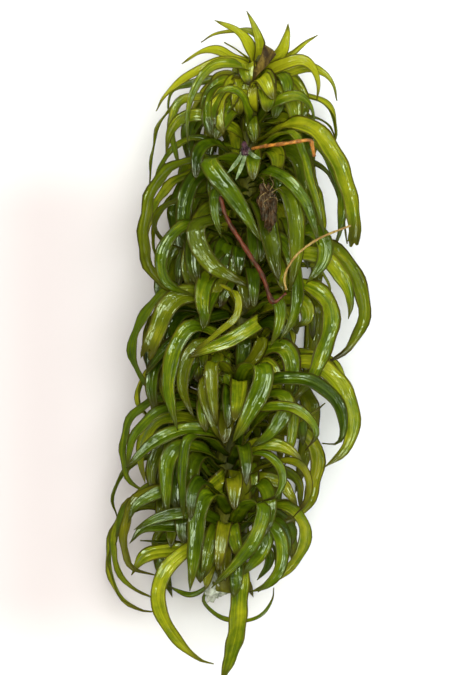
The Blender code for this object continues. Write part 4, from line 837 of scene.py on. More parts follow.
def leaf_width_share(name, t):
    """The outline of a solid blade. The young leaves of the tip are broadest at their roots."""
    if name == WITHERED_LEAF[0]:
        return FOLDED_ROOT_WIDTH + (1.0 - FOLDED_ROOT_WIDTH) * t ** FUNNEL_POWER
    if name.startswith(CROWN_NAME):
        taper = max(0.0, t - CROWN_TAPER_START) / (1.0 - CROWN_TAPER_START)
        return 1.0 - SHARP_TAPER * taper ** CROWN_TAPER_POWER
    depth = BLUNT_TAPER if name in BLUNT_LEAVES else SHARP_TAPER
    return strap_share(t, TAPER_START, TAPER_POWER, depth)


def drawn_width_share(name, t):
    """The outline that is drawn over the solid's: straighter sides and a rounded point, and blunter ends on
    the leaves of the inside."""
    share = leaf_width_share(name, t)
    if name in BLUNT_LEAVES or name == WITHERED_LEAF[0]:
        return share
    if not name.startswith(CROWN_NAME):
        depth = INNER_TAPER if name.startswith(INNER_NAMES) else SHARP_TAPER
        share = strap_share(t, STRAP_TAPER_START, STRAP_TAPER_POWER, depth)
    rounding = max(0.0, t - POINT_START) / (1.0 - POINT_START)
    return share * max(POINT_WIDTH, math.sqrt(max(0.0, 1.0 - rounding ** 2)))


def levelling(point):
    """How freely a blade may lean at a point, from 0 on the surface to 1 well above it."""
    return (point.z - LEAF_THICKNESS / 2) / LEVEL_BELOW


def blade_sides(route, tilt):
    """The sideways direction of the blade at each point: square to the plane that the leaf curls in,
    and leaning over by the tilt away from its root."""
    middle = sum(route, Vector()) / len(route)
    face = Vector()
    for a, b in zip(route, route[1:] + route[:1]):
        face += (a - middle).cross(b - middle)
    face.normalize()
    if face.z < 0:
        face.negate()
    halfway = route[len(route) // 2]
    hand = 1.0 if halfway.x > stem_at(halfway.y / MM)[0].x else -1.0
    sides = []
    for i, (point, along) in enumerate(zip(route, directions(route))):
        side = (face - along * along.dot(face)).normalized()
        lean = math.radians(tilt) * hand * min(1.0, i / (LEAN_FROM * (len(route) - 1)))
        side = side * math.cos(lean) + along.cross(side) * math.sin(lean)
        side.z *= min(1.0, levelling(point))
        sides.append(side.normalized())
    return sides


def blade_points(name, route, width, tilt):
    """The two edges of the blade, as pairs of points along the route."""
    pairs = []
    sides = blade_sides(route, tilt)
    for i, point in enumerate(route):
        half = sides[i] * (width / 2 * leaf_width_share(name, i / (len(route) - 1)))
        pairs.append((point - half, point + half))
    return pairs


def blade_hull(pairs, spare):
    """The corners and faces of a closed blade that is bigger by the spare all round."""
    corners = []
    for i, (left, right) in enumerate(pairs):
        ahead = pairs[min(i + 1, len(pairs) - 1)]
        behind = pairs[max(i - 1, 0)]
        along = (ahead[0] + ahead[1] - behind[0] - behind[1]).normalized()
        side = (right - left).normalized()
        up = side.cross(along).normalized() * (LEAF_THICKNESS / 2 + spare)
        left = left - side * spare
        right = right + side * spare
        corners += [left - up, right - up, right + up, left + up]
    faces = [(3, 2, 1, 0), tuple(len(corners) - 4 + k for k in range(4))]
    for i in range(len(pairs) - 1):
        for k in range(4):
            a = 4 * i + k
            b = 4 * i + (k + 1) % 4
            faces.append((a, b, b + 4, a + 4))
    return corners, faces


def add_blade(piece, pairs):
    """Put a blade among the ones that the next leaves have to clear."""
    corners, faces = blade_hull(pairs, 0.0)
    start = len(piece["corners"])
    piece["corners"] += corners
    piece["faces"] += [tuple(start + k for k in face) for face in faces]
    piece["tree"] = BVHTree.FromPolygons(piece["corners"], piece["faces"])


def nudged_route(row, nudge, fused, steps):
    """The route of a leaf's midrib after a nudge, in metres."""
    height, points = row[4:]
    lift, slide, turn, tip = nudge
    centre = stem_at(height)[0]
    round_stem = Matrix.Rotation(math.radians(turn), 3, "Y")
    moved = []
    for i, point in enumerate(points):
        up = lift + tip * i / (len(points) - 1)
        place = (Vector(point) + Vector((0.0, slide, up))) * MM
        moved.append(centre + round_stem @ (place - centre))
    root = min(height + slide, STEM_LINE[-1][1] - TIP_MARGIN)
    route = smooth_route(rooted(root, moved, fused), steps)
    for point in route:
        point.z = max(point.z, LEAF_THICKNESS / 2)
    return route


def inside_shoot(pairs):
    """Whether a blade stays within the limits of the extra leaves and off the open spots."""
    for point in (corner / MM for pair in pairs for corner in pair):
        if not EXTRA_LIMITS[0][0] < point.y < EXTRA_LIMITS[-1][0]:
            return False
        for low, high in zip(EXTRA_LIMITS, EXTRA_LIMITS[1:]):
            if point.y <= high[0]:
                share = (point.y - low[0]) / (high[0] - low[0])
                left, right = (low[k] + (high[k] - low[k]) * share for k in (1, 2))
                if not left < point.x < right:
                    return False
                break
        for left, bottom, right, top in OPEN_SPOTS:
            if left < point.x < right and bottom < point.y < top:
                return False
    return True


def settle(row, fused, placed, gap=LEAF_GAP, nudges=NUDGES, solid=True):
    """The smallest nudge that makes a leaf clear of the solid ones, or nothing where none does."""
    name, _, width, tilt, _, points = row
    for nudge in nudges:
        route = nudged_route(row, nudge, fused, step_count(points))
        pairs = blade_points(name, route, width * MM, tilt)
        if not solid and not inside_shoot(pairs):
            continue
        tree = BVHTree.FromPolygons(*blade_hull(pairs, gap))
        if tree.overlap(placed["own pieces"]["tree"]):
            continue
        if fused:
            tree = BVHTree.FromPolygons(*blade_hull(pairs[1:], gap))
        if tree.overlap(placed["stem piece"]["tree"]):
            continue
        if solid and fused:
            add_blade(placed["stem piece"], pairs[1:])
        elif solid:
            add_blade(placed["own pieces"], pairs)
        return nudge
    return None


def young_share(share):
    """How much shorter the leaves get towards the tip of the stem."""
    return 1.0 - YOUNG_SHRINK * max(0.0, share - YOUNG_FROM) / (1.0 - YOUNG_FROM)


def inner_height(share):
    """How high on the stem an inner leaf grows, from its share of the way to the tip."""
    return INNER_LEAF_START + (INNER_LEAF_END - INNER_LEAF_START) * share


def curl_points(height, turn, curl, reach, lowest, aside=0.0):
    """The points of a leaf that leaves the stem at this turn from straight up and follows a curl."""
    centre, radius = stem_at(height)
    outward = Vector((math.sin(turn), 0.0, math.cos(turn)))
    sideways = Vector((math.cos(turn), 0.0, -math.sin(turn)))
    points = []
    for k, (out, along) in enumerate(curl):
        place = centre / MM + outward * (radius / MM + out * reach)
        place += sideways * (aside * (k / len(curl)) ** 2)
        place.y = height + along * reach
        place.z = max(place.z, lowest)
        points.append(tuple(place))
    return tuple(points)


def inner_leaf_rows():
    """Short leaves that stand in a spiral round the stem and curl back at their tips."""
    rows = []
    for i in range(INNER_LEAF_COUNT):
        share = i / (INNER_LEAF_COUNT - 1)
        height = inner_height(share)
        turn = math.radians(INNER_LEAF_TURN * i)
        points = curl_points(height, turn, INNER_LEAF_CURL, young_share(share), INNER_LEAF_LOWEST)
        tilt = INNER_LEAF_TILT * abs(math.sin(turn))
        # The inner tint paints shade on these leaves, which lie deep in the shoot
        rows.append((f"inner_leaf_{i + 1}", "i", INNER_LEAF_WIDTH, tilt, height, points))
    return rows


def floor_leaf_rows():
    """Leaves under the stem: each comes down from it, and its outer half lies pressed on the surface."""
    rows = []
    for i, (height, out, back, aside) in enumerate(FLOOR_LEAVES):
        middle = stem_at(height)[0].x / MM
        points = []
        for out_share, aside_share, back_share, forward, up in FLOOR_LEAF_BEND:
            across = middle + out * out_share + aside * aside_share
            points.append((across, height + forward - back * back_share, up))
        rows.append((f"floor_leaf_{i + 1}", "f", FLOOR_LEAF_WIDTH, 0, height, tuple(points)))
    return rows


def extra_leaf_rows():
    """More leaves of the inside, each with its own size, turn and bend."""
    chance = random.Random(EXTRA_SEED)
    rows = []
    for kind in EXTRA_KINDS:
        for i in range(kind["count"]):
            share = (i + kind["inset"]) / (kind["count"] - 1 + 2 * kind["inset"])
            height = inner_height(share)
            hand = -1 if kind["two_hands"] and i % 2 == 0 else 1
            turn = math.radians(kind["turn_on"] * i + hand * chance.uniform(*kind["turn"]))
            curl = kind["curls"][i % len(kind["curls"])]
            reach = chance.uniform(*kind["reach"]) * young_share(share)
            reach *= min(1.0, kind["least_reach"] + share)
            width = chance.uniform(*kind["width"])
            aside = chance.uniform(-kind["aside"], kind["aside"])
            name = kind["name"] + f"_{i + 1}"
            tint = kind["tints"][i % len(kind["tints"])]
            tilt = EXTRA_TILT * abs(math.sin(turn))
            points = curl_points(height, turn, curl, reach, LOWEST_EXTRA, aside)
            rows.append((name, tint, width, tilt, height, points))
    return rows


def settle_all_leaves():
    """Find the place of every leaf in the order in which the solids found theirs."""
    placed = {}
    for owner in ("own pieces", "stem piece"):
        placed[owner] = {"corners": [], "faces": [], "tree": BVHTree.FromPolygons([], [])}
    places = {"own": [], "young": [], "floor": [], "inner": [], "extra": []}
    groups = (
        ("own", (WITHERED_LEAF, BROKEN_LEAF, *BIG_LEAVES), False),
        ("young", YOUNG_LEAVES, True),
        ("floor", floor_leaf_rows(), True),
        ("inner", inner_leaf_rows(), True),
        ("extra", extra_leaf_rows(), True),
    )
    for group, rows, fused in groups:
        for row in rows:
            if group == "extra":
                nudge = settle(row, fused, placed, EXTRA_GAP, NUDGES[:EXTRA_TRIES], solid=False)
            else:
                nudge = settle(row, fused, placed)
            if nudge is not None:
                places[group].append((row, nudge, fused))
    return places


LEAF_PLACES = settle_all_leaves()


# Settings that a user would change
class WaterweedLeafSettings(bpy.types.PropertyGroup):
    """The form of the leaves."""

    steps: IntProperty(
        name="Steps", description="How many steps the blade of a leaf has along it", default=30, min=8,
        max=60,
    )
    strips: IntProperty(
        name="Strips", description="How many strips the blade of a leaf has across it", default=6, min=2,
        max=12,
    )
    thickness: FloatProperty(
        name="Thickness", description="Thickness of a blade at its midrib", default=0.17 * MM,
        min=0.05 * MM, max=0.5 * MM, unit="LENGTH", precision=5,
    )
    widen: FloatProperty(
        name="Widen", description="How much wider a blade is than its solid", default=1.0, min=0.8, max=1.2,
        subtype="FACTOR",
    )
    fold: FloatProperty(
        name="Fold",
        description="How far the edges of a blade stand above its midrib, as a share of its width",
        default=0.19, min=0.0, max=0.4, subtype="FACTOR",
    )
    wave: FloatProperty(
        name="Wave", description="Height of the waves along the edges of a blade, as a share of its width",
        default=0.08, min=0.0, max=0.3, subtype="FACTOR",
    )
    wave_length: FloatProperty(
        name="Wave Length", description="Length of one wave along the edge of a blade", default=4.2 * MM,
        min=1 * MM, max=20 * MM, unit="LENGTH", precision=5,
    )
    twist: FloatProperty(
        name="Twist", description="How far a blade turns about its midrib at most",
        default=math.radians(14), min=0.0, max=math.radians(40), subtype="ANGLE",
    )


class WaterweedColourSettings(bpy.types.PropertyGroup):
    """The colours of the plant."""

    darkest: FloatVectorProperty(
        name="Darkest Green", description="Colour of the darkest leaves", subtype="COLOR",
        default=(0.016, 0.036, 0.0006), min=0.0, max=1.0,
    )
    green: FloatVectorProperty(
        name="Green", description="Colour of most leaves", subtype="COLOR", default=(0.086, 0.142, 0.0016),
        min=0.0, max=1.0,
    )
    yellow: FloatVectorProperty(
        name="Yellow Green", description="Colour of the young and thin leaves", subtype="COLOR",
        default=(0.37, 0.385, 0.011), min=0.0, max=1.0,
    )
    olive: FloatVectorProperty(
        name="Olive", description="Colour of leaves that have begun to turn", subtype="COLOR",
        default=(0.17, 0.135, 0.004), min=0.0, max=1.0,
    )
    brown: FloatVectorProperty(
        name="Brown", description="Colour of browned tips and margins", subtype="COLOR",
        default=(0.035, 0.022, 0.006), min=0.0, max=1.0,
    )
    stem: FloatVectorProperty(
        name="Stem", description="Colour of the stem", subtype="COLOR", default=(0.12, 0.12, 0.008),
        min=0.0, max=1.0,
    )


class WaterweedStageSettings(bpy.types.PropertyGroup):
    """The studio."""

    paper: FloatVectorProperty(
        name="Paper", description="Colour of the paper that the shoot lies on", subtype="COLOR",
        default=(0.715, 0.73, 0.765), min=0.0, max=1.0,
    )
    # The colour of the painted shade on the paper to the left of the shoot
    painted_shade_paper: FloatVectorProperty(
        name="Shaded Paper", description="Colour of the paper beside the shoot on the left",
        subtype="COLOR", default=(0.51, 0.468, 0.498), min=0.0, max=1.0,
    )
    key_power: FloatProperty(
        name="Key Light", description="Power of the light from the right", default=5.7, min=0.0, max=50.0,
        unit="POWER",
    )
    fill_power: FloatProperty(
        name="Fill Light", description="Power of the warm light from the left", default=1.7, min=0.0,
        max=50.0, unit="POWER",
    )
    side_power: FloatProperty(
        name="Side Light", description="Power of the low light from the right", default=1.0, min=0.0,
        max=50.0, unit="POWER",
    )
    card_power: FloatProperty(
        name="Glint Cards", description="Power of the cards that show as glints in the wet leaves",
        default=9.0, min=0.0, max=50.0, unit="POWER",
    )
    camera_distance: FloatProperty(
        name="Camera Distance", description="How far above the shoot the camera is", default=2.0, min=0.3,
        max=10.0, unit="LENGTH",
    )


def deselect_all():
    """Leave edit mode and select nothing."""
    if bpy.context.object and bpy.context.object.mode != "OBJECT":
        bpy.ops.object.mode_set(mode="OBJECT")
    bpy.ops.object.select_all(action="DESELECT")


def apply_all_modifiers(piece):
    """Apply the modifiers of a piece in their order."""
    deselect_all()
    piece.select_set(True)
    bpy.context.view_layer.objects.active = piece
    for modifier in list(piece.modifiers):
        bpy.ops.object.modifier_apply(modifier=modifier.name)


def name_piece(piece, name):
    """Give a piece and its mesh the same name."""
    piece.name = name
    piece.data.name = name


def join_pieces(pieces, name):
    """Join pieces to one mesh under a name."""
    deselect_all()
    for piece in pieces:
        piece.select_set(True)
    bpy.context.view_layer.objects.active = pieces[0]
    bpy.ops.object.join()
    joined = bpy.context.object
    name_piece(joined, name)
    return joined


def finish_piece(piece, nodes, material):
    """Give a piece its material, its body and the solids that it stands for."""
    piece.data.materials.clear()
    piece.data.materials.append(material)
    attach(piece, "root")
    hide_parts(*nodes)


# The leaf that every blade is copied from
def make_leaf_blank(settings):
    """A flat blade a unit long and wide, with its midrib sunk and its edges raised."""
    deselect_all()
    bpy.ops.mesh.primitive_grid_add(x_subdivisions=settings.strips, y_subdivisions=settings.steps, size=1.0)
    blank = bpy.context.object
    blank.name = "leaf_blank"
    bpy.ops.object.mode_set(mode="EDIT")
    bpy.ops.mesh.select_mode(type="VERT")
    bpy.ops.mesh.select_all(action="DESELECT")
    bpy.ops.object.mode_set(mode="OBJECT")
    for vert in blank.data.vertices:
        vert.select = abs(vert.co.x) < MIDRIB_REACH
    bpy.ops.object.mode_set(mode="EDIT")
    bpy.ops.transform.translate(
        value=(0.0, 0.0, -settings.fold), use_proportional_edit=True, proportional_edit_falloff="LINEAR",
        proportional_size=0.5,
    )
    bpy.ops.object.mode_set(mode="OBJECT")
    return blank


def copy_blank(blank, name):
    """A copy of the blank with a mesh of its own, whose margins are marked to be thinner."""
    blade = blank.copy()
    blade.data = blank.data.copy()
    name_piece(blade, name)
    bpy.context.scene.collection.objects.link(blade)
    margin = blade.vertex_groups.new(name="thick")
    for vert in blank.data.vertices:
        across = min(1.0, abs(vert.co.x) * 2)
        margin.add([vert.index], 1.0 - MARGIN_THINNING * across ** 2, "REPLACE")
    return blade


def lay_blade(blank, row, route, settings, chance):
    """A copy of the blank bent along a leaf's midrib, with its own waves and twist."""
    name, tint, width, tilt = row[:4]
    steps = settings.steps
    sides = blade_sides(route, tilt)
    ups = [side.cross(along).normalized() for side, along in zip(sides, directions(route))]
    middle = sum(route, Vector()) / len(route)
    outward = sum(up.dot(point - middle) for up, point in zip(ups, route))
    hand = 1.0 if outward > 0 else -1.0
    length = sum((b - a).length for a, b in zip(route, route[1:]))
    twist = settings.twist * chance.uniform(-1.0, 1.0)
    fold = chance.uniform(*FOLDS)
    phases = (chance.uniform(0, 2 * math.pi), chance.uniform(0, 2 * math.pi))
    wave_length = settings.wave_length * chance.uniform(*WAVE_STRETCHES)
    torn = [chance.uniform(*TORN_ENDS) for _ in range(settings.strips + 1)]
    tone, browning = TINTS[tint]
    tone += chance.uniform(-TONE_SPREAD, TONE_SPREAD)
    seed = chance.uniform(0.0, 1.0)
    blade = copy_blank(blank, name)
    for vert in blade.data.vertices:
        across = vert.co.x * 2
        t = vert.co.y + 0.5
        i = min(steps, max(0, round(t * steps)))
        half = width * MM / 2 * drawn_width_share(name, t) * settings.widen
        level = min(1.0, max(0.0, levelling(route[i])))
        angle = twist * math.sin(math.pi * t) * level
        side = sides[i] * math.cos(angle) + ups[i] * math.sin(angle)
        up = ups[i] * math.cos(angle) - sides[i] * math.sin(angle)
        phase = phases[0] if across < 0 else phases[1]
        wave = settings.wave * across ** 2 * math.sin(2 * math.pi * t * length / wave_length + phase)
        rise = (vert.co.z + settings.fold * 0.5) * fold + wave * min(1.0, t / WAVES_FROM)
        place_now = route[i] + side * (across * half) + up * (hand * rise * half * 2 * level)
        if name in BLUNT_LEAVES and i >= steps - 1:
            ahead = (route[-1] - route[-2]).normalized()
            place_now += ahead * (torn[round((across + 1) / 2 * settings.strips)] * length)
        place_now.z = max(place_now.z, settings.thickness / 2)
        vert.co = place_now
    for label, value in (("tone", tone), ("browning", browning), ("seed", seed)):
        layer = blade.data.attributes.new(label, "FLOAT", "POINT")
        layer.data.foreach_set("value", [value] * len(blade.data.vertices))
    blade.data.shade_smooth()
    return blade


def lay_leaf(blank, place, settings, chance):
    """The blade of a leaf in the place that was found for it."""
    row, nudge, fused = place
    return lay_blade(blank, row, nudged_route(row, nudge, fused, settings.steps), settings, chance)


def thicken(piece, settings):
    """Give blades their thickness, thinner towards the margins."""
    solidify = piece.modifiers.new("blade thickness", "SOLIDIFY")
    solidify.thickness = settings.thickness
    solidify.offset = 0.0
    solidify.vertex_group = "thick"
    apply_all_modifiers(piece)
    piece.vertex_groups.clear()


def uneven(t, swells):
    """How much thicker or thinner an uneven stalk is at a share of its length."""
    share = 1.0
    for height, pace in swells:
        share += height * math.sin(t * pace)
    return share


def make_tube(name, points, radii, sides, steps):
    """A closed tube along a smooth curve, widening and narrowing with the radii."""
    deselect_all()
    route = smooth_route(in_metres(points), steps)
    alongs = directions(route)
    bpy.ops.mesh.primitive_cylinder_add(vertices=sides, radius=1.0, depth=2.0, end_fill_type="TRIFAN")
    tube = bpy.context.object
    name_piece(tube, name)
    shell = bmesh.new()
    shell.from_mesh(tube.data)
    lengthwise = [edge for edge in shell.edges if abs(edge.verts[0].co.z - edge.verts[1].co.z) > 1.0]
    bmesh.ops.subdivide_edges(shell, edges=lengthwise, cuts=steps - 1, use_grid_fill=True)
    upright = Vector((0.0, 0.0, 1.0))
    for vert in shell.verts:
        i = min(steps, max(0, round((vert.co.z + 1.0) / 2 * steps)))
        side = alongs[i].cross(upright).normalized()
        up = side.cross(alongs[i])
        vert.co = route[i] + (side * vert.co.x + up * vert.co.y) * radii(i / steps)
    bmesh.ops.recalc_face_normals(shell, faces=shell.faces)
    shell.to_mesh(tube.data)
    shell.free()
    tube.data.shade_smooth()
    return tube


def make_lump(name, place, half_size, lobes, roughness, taper=0.0):
    """A shrivelled lump: a sphere pushed in and out by waves and wrinkled. It may narrow towards -Y."""
    deselect_all()
    bpy.ops.mesh.primitive_ico_sphere_add(subdivisions=LUMP_FINENESS, radius=1.0)
    lump = bpy.context.object
    name_piece(lump, name)
    for vert in lump.data.vertices:
        around = math.atan2(vert.co.y, vert.co.x)
        crumbs = noise.noise(vert.co * CRUMB_SCALE)
        crumbs += FINE_CRUMB_SHARE * noise.noise(vert.co * FINE_CRUMB_SCALE)
        wave = 1.0 + LOBE_DEPTH * math.cos(lobes * around + LOBE_PHASE)
        wave += WRINKLE_DEPTH * math.sin(WRINKLES_UP * vert.co.z + WRINKLES_ROUND * around)
        wave += roughness * crumbs
        vert.co.x *= 1.0 - taper * (1.0 - vert.co.y) / 2
        vert.co = Vector([(vert.co[k] * wave * half_size[k] + place[k]) * MM for k in range(3)])
    lump.data.shade_smooth()
    return lump


# Materials
def new_material(name):
    """A node material with its node tree and its Principled shader."""
    material = bpy.data.materials.new(name)
    material.use_nodes = True
    return material, material.node_tree, material.node_tree.nodes["Principled BSDF"]


def feed(tree, socket, value):
    """Link a socket to another one, or set it to a number or a colour."""
    if isinstance(value, bpy.types.NodeSocket):
        tree.links.new(value, socket)
    else:
        socket.default_value = (*value, 1.0) if isinstance(value, tuple) else value


def set_inputs(tree, node, **values):
    """Feed the inputs of a node by their names, with underscores for spaces."""
    for name, value in values.items():
        feed(tree, node.inputs[name.replace("_", " ")], value)


def add_maths(tree, operation, *values):
    """A Math node fed by sockets or numbers."""
    node = tree.nodes.new("ShaderNodeMath")
    node.operation = operation
    for socket, value in zip(node.inputs, values):
        feed(tree, socket, value)
    return node.outputs[0]


def add_chain(tree, operation, *values):
    """Math nodes in a row, each of which takes in one more socket or number."""
    total = values[0]
    for value in values[1:]:
        total = add_maths(tree, operation, total, value)
    return total


def add_range(tree, value, low, high, new_low=0.0, new_high=1.0):
    """A smooth Map Range node."""
    node = tree.nodes.new("ShaderNodeMapRange")
    node.interpolation_type = "SMOOTHSTEP"
    set_inputs(tree, node, Value=value, From_Min=low, From_Max=high, To_Min=new_low, To_Max=new_high)
    return node.outputs["Result"]


def add_mix(tree, share, first, second):
    """A colour mix fed by sockets or colours."""
    node = tree.nodes.new("ShaderNodeMix")
    node.data_type = "RGBA"
    for k, value in ((0, share), (6, first), (7, second)):
        feed(tree, node.inputs[k], value)
    return node.outputs[2]


def add_stretch(tree, vector, scale):
    """A vector stretched by a scale along each axis."""
    node = tree.nodes.new("ShaderNodeMapping")
    node.inputs["Scale"].default_value = scale
    tree.links.new(vector, node.inputs["Vector"])
    return node.outputs[0]


def add_noise(tree, vector, scale, detail=2.0, roughness=0.5):
    """A Noise node on a vector."""
    node = tree.nodes.new("ShaderNodeTexNoise")
    set_inputs(tree, node, Vector=vector, Scale=scale, Detail=detail, Roughness=roughness)
    return node.outputs["Fac"]


def add_attribute(tree, name):
    """The value of a point attribute."""
    node = tree.nodes.new("ShaderNodeAttribute")
    node.attribute_name = name
    return node.outputs["Fac"]


def add_split(tree, vector):
    """The three parts of a vector."""
    node = tree.nodes.new("ShaderNodeSeparateXYZ")
    tree.links.new(vector, node.inputs[0])
    return node.outputs


def add_bump(tree, height, strength, distance):
    """The normal of a surface with this relief."""
    node = tree.nodes.new("ShaderNodeBump")
    set_inputs(tree, node, Height=height, Strength=strength, Distance=distance)
    return node.outputs[0]


def leaf_green(tree, colours, across, height, patches, bands, veins):
    """The green of a leaf from its tone: darker in the veins and lighter towards the tip of the shoot."""
    tone = add_chain(
        tree, "ADD",
        add_attribute(tree, "tone"),
        add_range(tree, height, *TIP_LIGHT),
        add_maths(tree, "MULTIPLY_ADD", patches, *PATCH_TONE),
        add_maths(tree, "MULTIPLY_ADD", veins, *VEIN_TONE),
        add_maths(tree, "MULTIPLY_ADD", bands, *BAND_TONE),
        add_range(tree, across, *MIDRIB_LIGHT),
        # Painted rim light: the blade is lighter along its margin
        add_range(tree, across, *PAINTED_RIM_LIGHT),
    )
    ramp = tree.nodes.new("ShaderNodeValToRGB")
    tree.links.new(tone, ramp.inputs[0])
    stops = ramp.color_ramp.elements
    stops[1].position = YELLOW_AT
    stops.new(GREEN_AT)
    for stop, colour in zip(stops, (colours.darkest, colours.green, colours.yellow)):
        stop.color = (*colour, 1.0)
    return ramp.outputs[0]


def leaf_material(name, colours):
    """Wet leaf: veined along its length, darker or browned at its margins with a painted rim light just
    inside them, and letting light through.
    """
    material, tree, shader = new_material(name)
    place = tree.nodes.new("ShaderNodeTexCoord")
    spot = place.outputs["Object"]
    height = add_split(tree, spot)[1]
    u, v = add_split(tree, place.outputs["UV"])[:2]
    browning = add_attribute(tree, "browning")
    seed = add_attribute(tree, "seed")
    across = add_maths(tree, "ABSOLUTE", add_maths(tree, "MULTIPLY_ADD", u, 2.0, -1.0))

    # Streaks run along the blade and differ from leaf to leaf
    own = tree.nodes.new("ShaderNodeCombineXYZ")
    set_inputs(tree, own, X=u, Y=v, Z=seed)

    def streaks(stretch, detail, roughness=0.5):
        return add_noise(tree, add_stretch(tree, own.outputs[0], stretch), 1.0, detail, roughness)

    bands = streaks(BAND_STRETCH, detail=2.0)
    patches = add_noise(tree, spot, PATCH_SCALE, detail=4.0, roughness=GRAIN)
    veins = streaks(VEIN_STRETCH, detail=3.0, roughness=GRAIN)
    green = leaf_green(tree, colours, across, height, patches, bands, veins)

    # Some leaves have turned olive, mostly older ones
    turned = add_range(tree, add_maths(tree, "MULTIPLY_ADD", patches, TURNED_PATCHES, seed), *TURNED_RANGE)
    turned = add_maths(tree, "MULTIPLY", turned, add_range(tree, height, *OLDER_RANGE))
    green = add_mix(tree, turned, green, tuple(colours.olive))

    # Margins, tips and speckles are brown
    rim = add_range(tree, add_maths(tree, "MULTIPLY_ADD", bands, RIM_RAGGEDNESS, across), *BROWN_EDGE)
    rim = add_maths(tree, "MULTIPLY", rim, add_maths(tree, "MULTIPLY_ADD", browning, *RIM_BROWNING))
    tip = add_range(tree, add_maths(tree, "MULTIPLY_ADD", patches, TIP_RAGGEDNESS, v), *BROWN_EDGE)
    tip = add_maths(tree, "MULTIPLY", tip, add_maths(tree, "MULTIPLY_ADD", browning, *TIP_BROWNING))
    speckles = add_noise(tree, spot, SPECKLE_SCALE, detail=3.0, roughness=GRAIN)
    speckles = add_range(tree, speckles, *SPECKLE_RANGE)
    mottling = add_maths(tree, "MULTIPLY", browning, SPECKLE_BROWNING)
    blotches = add_maths(tree, "MULTIPLY", speckles, mottling)
    browned = add_chain(tree, "MAXIMUM", rim, tip, blotches)
    colour = add_mix(tree, browned, green, tuple(colours.brown))

    # The wet film lies on what isn't brown, and breaks up into glints
    facing = tree.nodes.new("ShaderNodeLayerWeight")
    facing.inputs["Blend"].default_value = 0.5
    wet = add_range(tree, facing.outputs["Facing"], *WET_RANGE)
    relief = add_chain(
        tree, "ADD",
        add_maths(tree, "MULTIPLY", streaks(RIB_STRETCH, detail=1.0), RIB_RELIEF),
        add_maths(tree, "MULTIPLY", streaks(FILM_STRETCH, detail=2.0), FILM_RELIEF),
        add_maths(tree, "MULTIPLY", add_noise(tree, spot, CRUMPLE_SCALE), CRUMPLE_RELIEF),
    )
    normal = add_bump(tree, relief, 1.0, RELIEF_DEPTH)
    set_inputs(
        tree, shader, Base_Color=colour, Roughness=LEAF_ROUGHNESS, Specular_IOR_Level=LEAF_SPECULAR,
        Coat_Weight=add_maths(tree, "MULTIPLY", wet, add_maths(tree, "SUBTRACT", 1.0, rim)),
        Coat_Roughness=WET_ROUGHNESS, Coat_IOR=WET_IOR, Normal=normal, Coat_Normal=normal,
    )
    through = tree.nodes.new("ShaderNodeBsdfTranslucent")
    set_inputs(tree, through, Color=add_mix(tree, THROUGH_PURITY, colour, THROUGH_COLOUR))
    mixer = tree.nodes.new("ShaderNodeMixShader")
    for socket, value in zip(mixer.inputs, (THROUGH_SHARE, shader.outputs[0], through.outputs[0])):
        feed(tree, socket, value)
    tree.links.new(mixer.outputs[0], tree.nodes["Material Output"].inputs["Surface"])
    return material


def speckled_material(name, base, dark, scale, stretch, roughness, coat):
    """A dead or woody skin: its colour breaks up along a stretched noise."""
    material, tree, shader = new_material(name)
    spot = tree.nodes.new("ShaderNodeTexCoord").outputs["Object"]
    coarse = add_noise(tree, add_stretch(tree, spot, stretch), scale, detail=4.0, roughness=GRAIN)
    fine = add_noise(tree, spot, scale * FINE_SPECKS, detail=3.0, roughness=0.6)
    colour = add_mix(tree, add_range(tree, coarse, *SPECK_RANGE), dark, base)
    paler = tuple(min(1.0, value * PALE_SPECK_GAIN) for value in base)
    colour = add_mix(tree, add_range(tree, fine, *PALE_SPECK_RANGE), colour, paler)
    smoothest = roughness - SKIN_ROUGHNESS_SPREAD
    roughest = roughness + SKIN_ROUGHNESS_SPREAD
    set_inputs(
        tree, shader, Base_Color=colour, Specular_IOR_Level=SKIN_SPECULAR,
        Roughness=add_range(tree, fine, *SKIN_ROUGHNESS_RANGE, smoothest, roughest),
        Coat_Weight=coat, Coat_Roughness=SKIN_COAT_ROUGHNESS,
        Normal=add_bump(tree, coarse, SKIN_RELIEF, SKIN_RELIEF_DEPTH),
    )
    return material


def wet_leaf():
    """The leaf material, made once."""
    made = bpy.data.materials.get("wet_leaf")
    return made or leaf_material("wet_leaf", bpy.context.scene.waterweed_colours)


# Operators
class WATERWEED_OT_own_leaves(bpy.types.Operator):
    """Model the big leaves, each over its own solid"""

    bl_idname = "waterweed.own_leaves"
    bl_label = "Big Leaves"

    def execute(self, context):
        settings = context.scene.waterweed_leaves
        chance = random.Random(LEAF_SEEDS["own"])
        blank = make_leaf_blank(settings)
        withered = speckled_material("withered_leaf_skin", *WITHERED_SKIN)
        for place in LEAF_PLACES["own"]:
            node = place[0][0]
            blade = lay_leaf(blank, place, settings, chance)
            blade.name = node + "_blade"
            thicken(blade, settings)
            if node == WITHERED_LEAF[0]:
                finish_piece(blade, [node], withered)
            elif node == BROKEN_LEAF[0]:
                finish_piece(blade, [node], wet_leaf())
            else:
                finish_piece(blade, [node], wet_leaf())
        bpy.data.objects.remove(blank)
        return {"FINISHED"}


class WATERWEED_OT_stem(bpy.types.Operator):
    """Model the stem with its cut end"""

    bl_idname = "waterweed.stem"
    bl_label = "Stem"

    def execute(self, context):
        low = STEM_LINE[0][1]
        high = STEM_LINE[-1][1]

        def radius(t):
            return stem_at(low + (high - low) * t)[1] * uneven(t, STEM_SWELLS)

        stem = make_tube("stem", STEM_LINE, radius, *STEM_MESH)
        skin = speckled_material("stem_skin", tuple(context.scene.waterweed_colours.stem), *STEM_SKIN)
        finish_piece(stem, ["stem_with_young_leaves"], skin)
        return {"FINISHED"}


